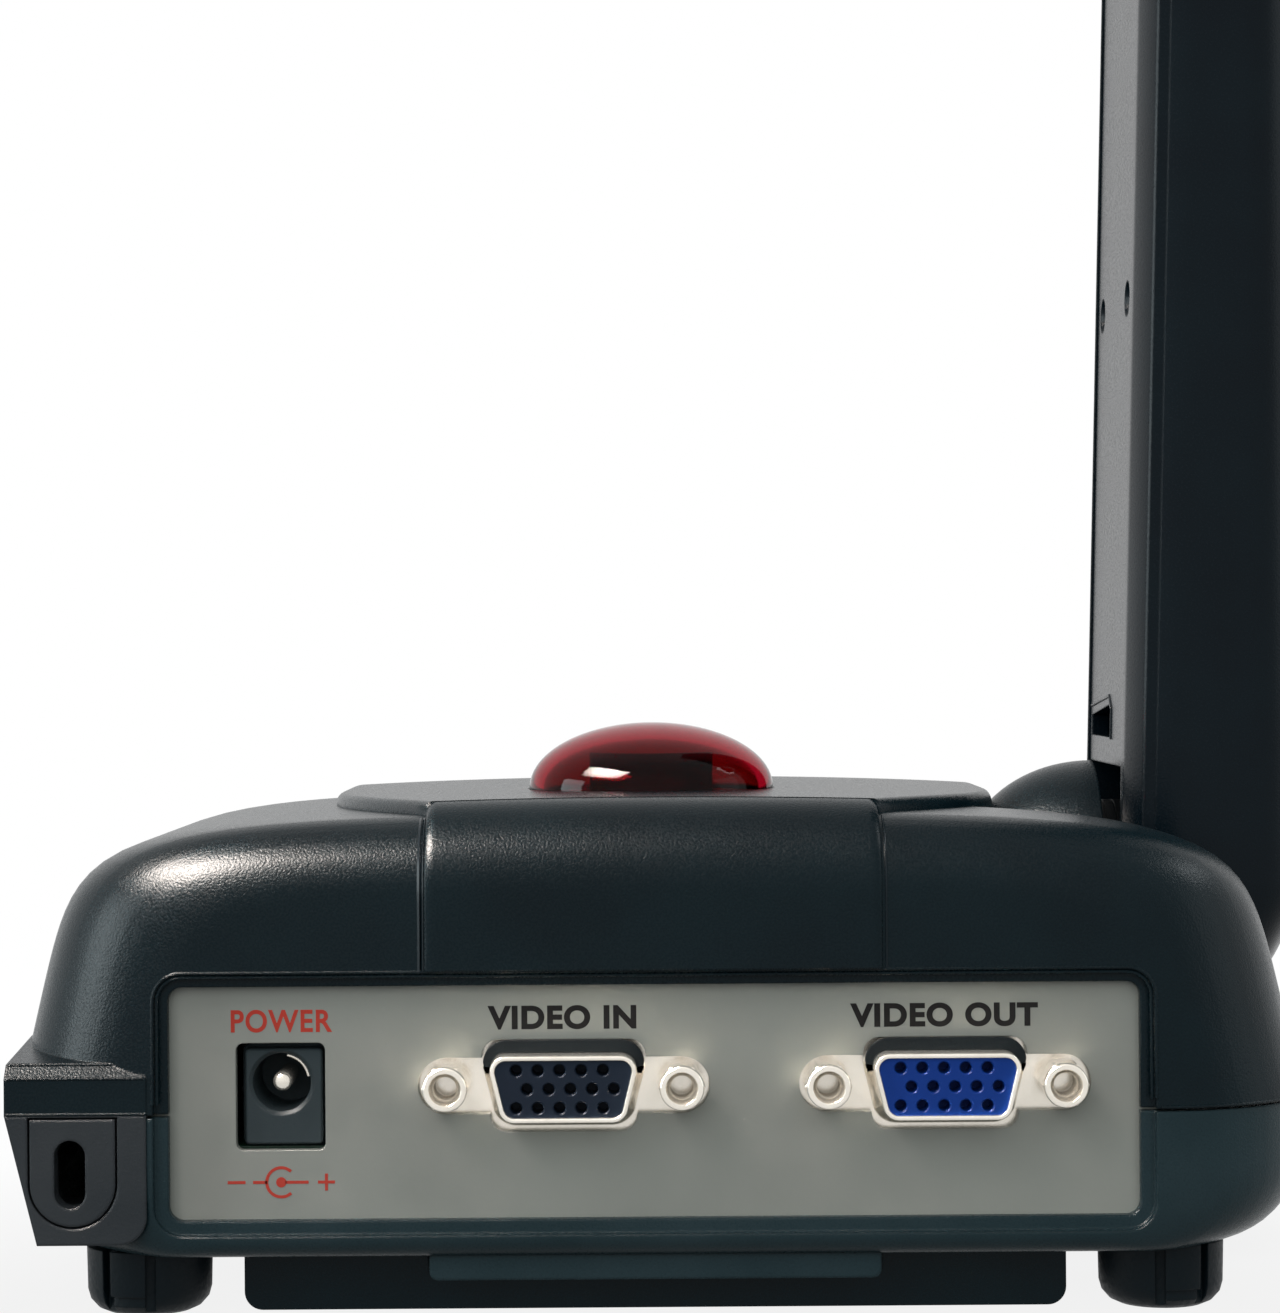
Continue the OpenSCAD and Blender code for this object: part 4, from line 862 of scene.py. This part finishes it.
# %% Beads on the case
skin = merge(upper_solid(0), lower_solid(0, split_z))
skin_tree = BVHTree.FromPolygons([v.co for v in skin.data.vertices],
                                 [f.vertices for f in skin.data.polygons])
bpy.data.objects.remove(skin)


def on_skin(x, z, sink):
    """Point on the rear of the case at x and z, sunk by a depth."""
    hit = skin_tree.ray_cast(Vector((x, -300, z)) * MM, Vector((0, 1, 0)))[0]
    return Vector((x, (hit.y / MM if hit else y_rear) + sink, z))


def window_line(grow):
    """Close points round the plate's window, grown by a margin, above the split line."""
    high = panel_z1 - panel_z0
    around = round_rect(0, panel_mid, panel_w + 2 * grow, high + 2 * grow, lip_r - panel_lip + grow, 12)
    line = []
    for k, (x0, z0) in enumerate(around):
        x1, z1 = around[(k + 1) % len(around)]
        parts = max(1, int(math.hypot(x1 - x0, z1 - z0) / 2))
        line += [(x0 + (x1 - x0) * j / parts, z0 + (z1 - z0) * j / parts) for j in range(parts)]
    lowest = line.index(min(line, key=lambda p: p[1]))
    return [p for p in line[lowest:] + line[:lowest] if p[1] > split_z + 0.2]


beads = [tube([on_skin(x, z, sink) for x, z in window_line(panel_lip + grow)], 0.2, (0, 1, 0))
         for grow, sink in ((0.05, 0.08), (-0.42, 0.3))]
turn_in = [y_rear + plan_r * (1 - math.cos(math.radians(6 * k))) for k in range(16)]
right_edge = [(channel_half(y, 0) - plan_inset(y, 0), y, split_z + 0.12) for y in turn_in + [y_rear + 27]]
left_run = [y_rear + plan_r + 10 * k for k in range(25)]
left_edge = [(plan_inset(y, 0) - half_w, y, split_z + 0.12) for y in left_run]
beads += [tube(edge, 0.18, (0, 0, 1)) for edge in (right_edge, left_edge)]
# Margins at both ends, depth, height and radius of the three lines on the ledge over the lock.
ledge_lines = [(0.3, 0.2, lock_fall, lock_top - 0.06, 0.22), (0.3, 0.2, 0.08, lock_top - lock_fall, 0.2),
               (0.2, 0, 0.06, split_z + 0.15, 0.18)]
for start, end, deep, z, r in ledge_lines:
    y = y_rear + deep
    beads.append(tube([(lock_x0 + start, y, z), (lock_x1 - end, y, z)], r, (0, 0, 1)))
dress(merge(*beads), "case_beads", "base", "case_plastic")

# %% [markdown]
# The arm is a long hollow shell. Its inner face leans outwards a little, its inner edges are flattened
# ovals and its outer edges are round, and below the hinge it ends in a half oval that draws in towards
# the outside. One loft makes all of it: the rings start on the floor of the hollow, come out to its
# mouth, turn over the edge and close on the outer face. Extra rings leave a fine step where the inner
# half of the arm meets the outer half.

# %% Arm shell
arm_in_x = channel_x + 1.4
arm_t = 22
arm_out_x = arm_in_x + arm_t
arm_w = 46.5
arm_top_z = 280.7
arm_lean = math.tan(math.radians(1.5))
arm_outer_r = 8
arm_wall = 3
arm_step = 0.12
cover_w = 31.5
cover_shift = 1


def arm_ring(deep, inset, low, shift=0, from_outside=False):
    """One outline of the arm at a depth from its inner face, or from its outer face."""
    h = arm_w / 2 - inset
    top = arm_top_z - inset
    r = max(arm_outer_r - inset, 1)
    under = [(h * math.cos(t), hinge_z + low * math.sin(t)) for t in [-math.pi * k / 36 for k in range(37)]]
    outline = under + arc(-h + r, top - r, r, 180, 90) + arc(h - r, top - r, r, 90, 0)
    if from_outside:
        return [(arm_out_x - deep, hinge_y + shift + y, z) for y, z in outline]
    return [(arm_in_x + (z - hinge_z) * arm_lean + deep, hinge_y + shift + y, z) for y, z in outline]


def arm_low(deep, inset):
    """Reach of the half oval below the hinge at a depth."""
    return (arm_w / 2 - inset) * math.sqrt(1 - (deep / (arm_t + 0.4)) ** 2)


def quarter(steps):
    """Pairs of 1 - cos and 1 - sin over a quarter turn."""
    turns = [math.pi / 2 * k / steps for k in range(steps + 1)]
    return [(1 - math.cos(t), 1 - math.sin(t)) for t in turns]


hollow_in = (arm_w - cover_w) / 2 - 0.2
hollow_low = arm_low(arm_t - arm_wall, arm_wall) - arm_wall / 2
rings = [arm_ring(arm_wall, hollow_in, hollow_low, cover_shift, True),
         arm_ring(0, hollow_in, cover_w / 2 + 1.4, cover_shift)]
edge_path = [(0, 6.1), (0.03, 5.6), (0.12, 5.1), (1.42, 0.45), (1.52, 0.28), (1.75, arm_step),
             (3.0, arm_step), (3.05, arm_step / 2), (3.15, 0), (6, 0)]
rings += [arm_ring(deep, inset, arm_low(deep, inset)) for deep, inset in edge_path]
for deep, inset in reversed(quarter(12)):
    deep, inset = arm_outer_r * deep, arm_outer_r * inset
    rings.append(arm_ring(deep, inset, arm_low(arm_t - deep, inset), 0, True))
dress(loft(rings), "arm_shell", "arm", "arm_plastic", ["arm_outer_shell"])


def arm_point(y, z, deep):
    """Point at a depth under the leaning inner face, with y counted from the hinge."""
    return (arm_in_x + (z - hinge_z) * arm_lean + deep, hinge_y + y, z)


def on_arm(outline, deep0, deep1):
    """Solid of an outline on the inner face of the arm, between two depths."""
    return loft([[arm_point(y, z, deep) for y, z in outline] for deep in (deep0, deep1)])


cover_z0 = 57
cover_z1 = arm_top_z - hollow_in - 0.8
slot = [(-2.4, 60.2), (15.4, 60.2), (15.4, 62.7), (-0.9, 64.2), (-2.4, 63.4)]
cover_line = round_rect(cover_shift, (cover_z0 + cover_z1) / 2, cover_w, cover_z1 - cover_z0, 0.8)
cover = on_arm(cover_line, 0.3, 2.5)
carve(cover, on_arm(slot, -1, 4))
for side in (-1, 1):
    y, z = cover_shift + side * 11.25, hinge_z + 69
    carve(cover, on_arm(arc(y, z, 1.8, 0, 350, 35), -1, 4))
    sink = [[arm_point(py, pz, deep) for py, pz in arc(y, z, r, 0, 350, 35)]
            for deep, r in ((-0.5, 2.9), (1.0, 1.7))]
    carve(cover, loft(sink))
dress(cover, "arm_cover", "arm", "arm_plastic", ["arm_inner_cover"])
hood = [(-3.4, 60.0), (-3.4, 63.8), (-1.1, 65.3), (6, 64.7), (15.4, 63.9)]
dress(tube([arm_point(y, z, 0.32) for y, z in hood], 0.22, (1, 0, 0)), "slot_hood", "arm", "arm_plastic")

# %% [markdown]
# The infrared window is a shallow dome, moulded hollow so that light crosses two thin skins and not a
# solid lens. It is turned on a lathe with a fine profile, and a dark gasket fills the ring between the
# dome and the deck.

# %% Infrared dome
ir_h = 7.5
ir_wall = 1.6
ir_foot = deck_rise
ir_r = ir_d / 2
hollow_r, hollow_h = ir_r - ir_wall, ir_h - ir_wall
ir_place = (0, ir_y, case_top_z)
quarter_turn = [math.pi / 2 * k / 24 for k in range(25)]
outside = [(ir_r * math.cos(t), ir_foot + ir_h * math.sin(t)) for t in quarter_turn]
inside = [(hollow_r * math.cos(t), ir_foot + hollow_h * math.sin(t)) for t in reversed(quarter_turn)]
dome = lathe([(ir_r, 0)] + outside + inside + [(hollow_r, 0)], ir_place, steps=96)
dress(dome, "ir_dome", "base", "red_acrylic", ["ir_window"], crease=50)
block = prism_z(round_rect(0, ir_y, 14, 7, 0.6), case_top_z + 0.3, case_top_z + deck_rise + 4.1)
dress(block, "receiver_can", "base", "socket_plastic")
gasket_top = deck_rise - 0.2
gasket = [(ir_r + 0.02, 0.2), (ir_r + 0.18, 0.2), (ir_r + 0.18, gasket_top), (ir_r + 0.02, gasket_top)]
dress(lathe(gasket, ir_place, steps=96), "dome_gasket", "base", "socket_plastic")

# %% [markdown]
# Each video connector has a drawn nickel shell with a flared root, a plastic insert with three rows of
# five holes, and two hexagon jack nuts. The shell is a loft along the outline of the letter D: flange,
# flare, straight wall, rounded rim and back down inside. The holes of an insert are drilled with one
# cutter that holds all fifteen drills, each with a small countersink. A thin black strip over the top
# of each shell is painted shade: it stands for the shadow in the gap above the shell.

# %% Video connectors
conn_z = 25
vga_places = {"input": -9.6, "output": 30.9}
flange_y = panel_y + 1.5
flange_t = 0.6
d_w = 15.5
d_h = 7.1
d_r = 1.7
d_reach = 5.6
d_lean = 0.9
shell_wall = 0.56
jack_half = 24.99 / 2


def d_outline(x, w, h, r):
    """Outline of a D connector: wider at the top, tangent round corners."""
    tilt = math.degrees(math.atan2(d_lean, h - 2 * r))
    cx, cy = w / 2 - r, h / 2 - r
    return (arc(x + cx, conn_z + cy, r, -tilt, 90, 10) + arc(x - cx, conn_z + cy, r, 90, 180 + tilt, 10)
            + arc(x - cx + d_lean, conn_z - cy, r, 180 + tilt, 270, 10)
            + arc(x + cx - d_lean, conn_z - cy, r, 270, 360 - tilt, 10))


def d_ring(x, deep, grow):
    """The D outline, grown evenly, at a distance in front of the flange."""
    grown = d_outline(x, d_w + 2 * grow, d_h + 2 * grow, d_r + grow)
    return [(px, flange_y - deep, pz) for px, pz in grown]


def connector_shell(x):
    """Flange and drawn D shell of one connector."""
    path = [(0, 0.8), (0.5, 0.75), (0.9, 0.6), (1.3, 0.35), (1.6, 0.15), (2.0, 0.03), (2.4, 0),
            (d_reach - 0.26, 0), (d_reach - 0.08, -0.07), (d_reach, -0.22), (d_reach, -0.34),
            (d_reach - 0.08, -0.49), (d_reach - 0.26, -shell_wall), (0.4, -shell_wall)]
    drawn = loft([d_ring(x, deep, grow) for deep, grow in path], capped=False)
    plate = prism_y(round_rect(x, conn_z, 31, 11.6, 1.5), flange_y, flange_y + flange_t)
    return merge(drawn, plate)


def connector_insert(x):
    """D-shaped plug with 3 rows of 5 countersunk holes, and the block behind it."""
    face = flange_y - d_reach + 0.4
    outline = d_outline(x, d_w - 2 * shell_wall, d_h - 2 * shell_wall, d_r - shell_wall)
    plug = prism_y(outline, face, flange_y + flange_t)
    drill = [(0, 0.5), (0.95, 0.5), (0.74, 0), (0.6, -0.16), (0.6, -3.4), (0, -3.4)]
    places = [(x + (col + (0.33 if row == 0 else -0.17)) * 2.29, face, conn_z + row * 1.98)
              for row in (-1, 0, 1) for col in range(-2, 3)]
    carve(plug, merge(*[lathe(drill, place, "-Y", 24) for place in places]))
    behind = round_rect(x, (18.5 + 29.8) / 2, d_w, 11.3, 0.3)
    return merge(plug, prism_y(behind, flange_y + flange_t + 0.02, flange_y + 9.6))


def jack_nut(x):
    """Hexagon nut with a round collar and a threaded bore."""
    length = d_reach - 0.4
    turns = [math.pi / 3 * k for k in range(6)]
    hexagon = [(x + 2.5 * math.cos(t), conn_z + 2.5 * math.sin(t)) for t in turns]
    nut = prism_y(hexagon, flange_y - length + 0.7, flange_y)
    collar = [(0, length - 1), (2.36, length - 1), (2.36, length - 0.3), (2.3, length - 0.1),
              (2.18, length), (0, length)]
    carve(nut, lathe(collar, (x, flange_y, conn_z), "-Y", 48), "UNION")
    thread = [(0, -1), (1.2, -1)]
    for k in range(8):
        thread += [(1.2, 0.2 + 0.5 * k), (1.38, 0.45 + 0.5 * k)]
    thread += [(1.4, length - 0.6), (1.72, length), (1.72, length + 1), (0, length + 1)]
    return carve(nut, lathe(thread, (x, flange_y, conn_z), "-Y", 40))


def shell_shade_strip(x):
    """Black strip of painted shade over the top of a shell, thinning out down its sides."""
    inner, outer = d_ring(x, 2.5, 0), d_ring(x, 2.5, 1.4)
    top = [(a, a.lerp(b, min(1, max(0.04, (a.z - conn_z) / d_h * 2))))
           for a, b in zip(map(Vector, inner), map(Vector, outer)) if a.z > conn_z]
    top = sorted(top, key=lambda pair: -pair[0].x)
    deep = Vector((0, 0.2, 0))
    return loft([[a, b, b + deep, a + deep] for a, b in top])


for kind, x in vga_places.items():
    # The black strip over each shell is painted shade, a dark sheet where the gap above the shell is in
    # shadow.
    dress(shell_shade_strip(x), f"{kind}_painted_shade", "base", "foot_rubber")
    dress(connector_shell(x), f"{kind}_shell", "base", "nickel", [f"vga_{kind}_shell"], crease=40)
    insert_look = "pin_blue_plastic" if kind == "output" else "pin_dark_plastic"
    dress(connector_insert(x), f"{kind}_insert", "base", insert_look, [f"vga_{kind}_insert"])
nuts = merge(*[jack_nut(x + side * jack_half) for x in vga_places.values() for side in (-1, 1)])
dress(nuts, "jack_nuts", "base", "nickel", ["vga_jack_nuts"])

# %% [markdown]
# The power jack is a black block behind a square opening of the plate. Its front edge is chamfered,
# the round hole takes the plug, and a nickel pin with a rounded tip stands in the middle.

# %% Power jack
dc_x = -39.7
dc_w = 9.1
dc_h = 11
dc_mid = 24
dc_hole_z = 25.4
dc_face = panel_y + 0.9
dc_shift = 0.25


def dc_ring(deep, inset):
    """Outline of the jack at a depth behind its face, drawn in by an inset."""
    outline = round_rect(dc_x + dc_shift, dc_mid - 0.1, dc_w - 2 * inset, dc_h - 2 * inset, 0.9 - inset)
    return [(x, dc_face + deep, z) for x, z in outline]


jack_path = ((0, 0.62), (0.1, 0.5), (0.3, 0.42), (2.2, 0.4), (2.3, 0), (14, 0))
jack = loft([dc_ring(deep, inset) for deep, inset in jack_path])
hole = [(0, 1), (3.5, 1), (3.5, 0), (3.1, -0.4), (3.1, -10), (0, -10)]
carve(jack, lathe(hole, (dc_x, dc_face, dc_hole_z), "-Y", 64))
dress(jack, "power_jack", "base", "jack_plastic", ["dc_jack_body"])
spring = [(dc_x + x, dc_face + 1.6, dc_hole_z + z) for x, z in arc(0, 0, 2.85, 10, 80, 14)]
dress(tube(spring, 0.22, (0, 1, 0)), "power_spring", "base", "nickel")
turns = [math.pi / 2 * k / 8 for k in range(8)]
tip = [(1.05 * math.cos(t), 0.7 * math.sin(t)) for t in turns]
pin = lathe([(0, -8), (1.05, -8)] + tip + [(0, 0.7)], (dc_x, panel_y + 2.3, dc_hole_z), "-Y", 32)
dress(pin, "power_pin", "base", "nickel", ["dc_jack_pin"])

# %% [markdown]
# The plate carries short plain words for each socket and the standard symbol for a plug that is
# positive in its centre. Printed ink has almost no thickness, so each word is a flat outline with a
# body of a few hundredths of a millimetre. A plane with an image would do as well, but real outlines
# stay sharp from any distance.

# %% Printing on the rear plate
ink_t = 0.03


def word(text, size, bold=0.0):
    """Flat letters in the X-Y plane, centred, with a cap height in millimetres."""
    curve = bpy.data.curves.new("word", "FONT")
    curve.body = text
    curve.align_x = "CENTER"
    curve.align_y = "CENTER"
    curve.size = size * MM / 0.69
    curve.offset = bold * MM
    curve.space_character = 1.1
    curve.extrude = ink_t * MM / 2
    made = solid(curve)
    state = bpy.context.evaluated_depsgraph_get()
    mesh = bpy.data.meshes.new_from_object(made.evaluated_get(state))
    bpy.data.objects.remove(made)
    return solid(mesh)


def on_plate(made, x, z, stretch=1.0):
    """Stand flat printing on the rear plate."""
    place = Matrix.Translation(Vector((x, panel_y - ink_t / 2, z)) * MM)
    stand = Matrix.Rotation(math.radians(90), 4, "X")
    made.data.transform(place @ stand @ Matrix.Diagonal((stretch, 1, 1, 1)))
    return made


def flat(outline):
    """Flat printing of an outline on the rear plate."""
    return prism_y(outline, panel_y - ink_t, panel_y)


def flat_bar(x0, z0, x1, z1):
    """Flat bar, placed from the middle of the polarity sign."""
    x0, x1, z0, z1 = sign_x + x0, sign_x + x1, sign_z + z0, sign_z + z1
    return flat([(x0, z0), (x1, z0), (x1, z1), (x0, z1)])


titles = {"VIDEO IN": vga_places["input"], "VIDEO OUT": vga_places["output"]}
black_words = [on_plate(word(text, 2.25, 0.14), x, 32.1, 1.05) for text, x in titles.items()]
dress(merge(*black_words), "plate_words", "base", "black_ink")
sign_x, sign_z, half = dc_x, 14.9, 0.16
sign_r, plus_x = 1.55, 4.8
outer_arc = arc(sign_x, sign_z, sign_r + half, 48, 312, 40)
inner_arc = arc(sign_x, sign_z, sign_r - half, 312, 48, 40)
sign = [flat(outer_arc + inner_arc), flat(arc(sign_x, sign_z, 0.55, 0, 350, 24))]
sign += [flat_bar(x0, -half, x1, half) for x0, x1 in ((-3.0, -1.5), (0.45, 2.9), (-5.7, -3.8), (3.9, 5.7))]
sign += [flat_bar(plus_x - half, z0, plus_x + half, z1) for z0, z1 in ((-0.9, -half), (half, 0.9))]
red_words = merge(on_plate(word("POWER", 2.25, 0.07), dc_x, 31.9, 0.9), *sign)
dress(red_words, "power_words", "base", "red_ink")

# %% [markdown]
# The control panel lies on the slope in front of the arm and is read from the front of the camera, so
# its words and arrows are turned half round. They are flat outlines like those on the plate, laid on
# the panel with the same tilt as the panel itself.

# %% Printing on the control panel
keys_proud = 0.4
key_pitch = 15
label_up = 7.2


def on_keys(made, x, y, turn=180):
    """Lay flat printing on the control panel, turned about the panel's normal."""
    spot = Matrix.Translation(Vector((x, y, deck_rise + keys_proud + ink_t / 2)) * MM)
    made.data.transform(keys_place @ spot @ Matrix.Rotation(math.radians(turn), 4, "Z"))
    return made


def arrow():
    """Flat triangle that points along Y."""
    return prism_z([(-1.5, -1.1), (1.5, -1.1), (0, 1.4)], -ink_t / 2, ink_t / 2)


labels = [("POWER", -1.5, -3), ("LAMP", -0.5, -3), ("HOLD", 0.5, -3), ("MENU", 1.5, -3),
          ("+", -1, -1.25), ("-", 1, -1.25)]
legends = []
for text, col, row in labels:
    high = 3 if len(text) == 1 else 1.9
    legends.append(on_keys(word(text, high, 0.04), col * key_pitch, row * key_pitch - label_up))
legends.append(on_keys(word("ZOOM", 1.9, 0.04), 0, -1.25 * key_pitch))
arrows = [(0, 0.5 * key_pitch - label_up, 180), (0, 2.5 * key_pitch + label_up, 0),
          (key_pitch + label_up, 1.5 * key_pitch, 270), (-key_pitch - label_up, 1.5 * key_pitch, 90)]
legends += [on_keys(arrow(), x, y, turn) for x, y, turn in arrows]
dress(merge(*legends), "key_legends", "base", "white_ink")

# %% [markdown]
# The other mechanical pieces already have their final form in the frame, so they only get a finish.
# Each one is picked by what it is made of, and the shader's bevel softens its edges.

# %% Finishes for the pieces of the frame
finishes = {
    "case_plastic": ["arm_rest", "ballast_cover"],
    # The lock's plastic carries painted light from the floor as well as its own grey.
    "lock_plastic_painted_floor_light": ["lock_bracket", "lock_plate"],
    "arm_plastic": ["elbow_fork", "jib_top_shell", "jib_bottom_shell",
                    "head_top_shell", "head_bottom_shell"],
    "trim_plastic": ["control_panel"],
    "socket_plastic": ["ir_receiver", "lens_barrel", "friction_washers"],
    "foot_rubber": ["keypad_mat", "focus_ring"],
    "panel_paint": ["rear_io_panel"],
    "bright_steel": ["ballast_weight", "case_screws", "hinge_pin", "hinge_nut", "elbow_pin"],
    "hinge_aluminium": ["jib_frame", "head_pivot_block"],
    "black_screw": ["arm_screws"],
    "black_oxide": ["arm_spine", "hinge_bracket"],
    "board_green": ["main_board", "keypad_board", "sensor_board", "led_board"],
    "lamp_diffuser": ["led_lens"],
    "lens_glass": ["lens_glass"],
    "key_plastic": [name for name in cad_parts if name.startswith("button_")],
}
for finish, names in finishes.items():
    for name in names:
        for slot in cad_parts[name].material_slots:
            slot.material = looks[finish]
    print(finish, "on", len(names), "pieces")
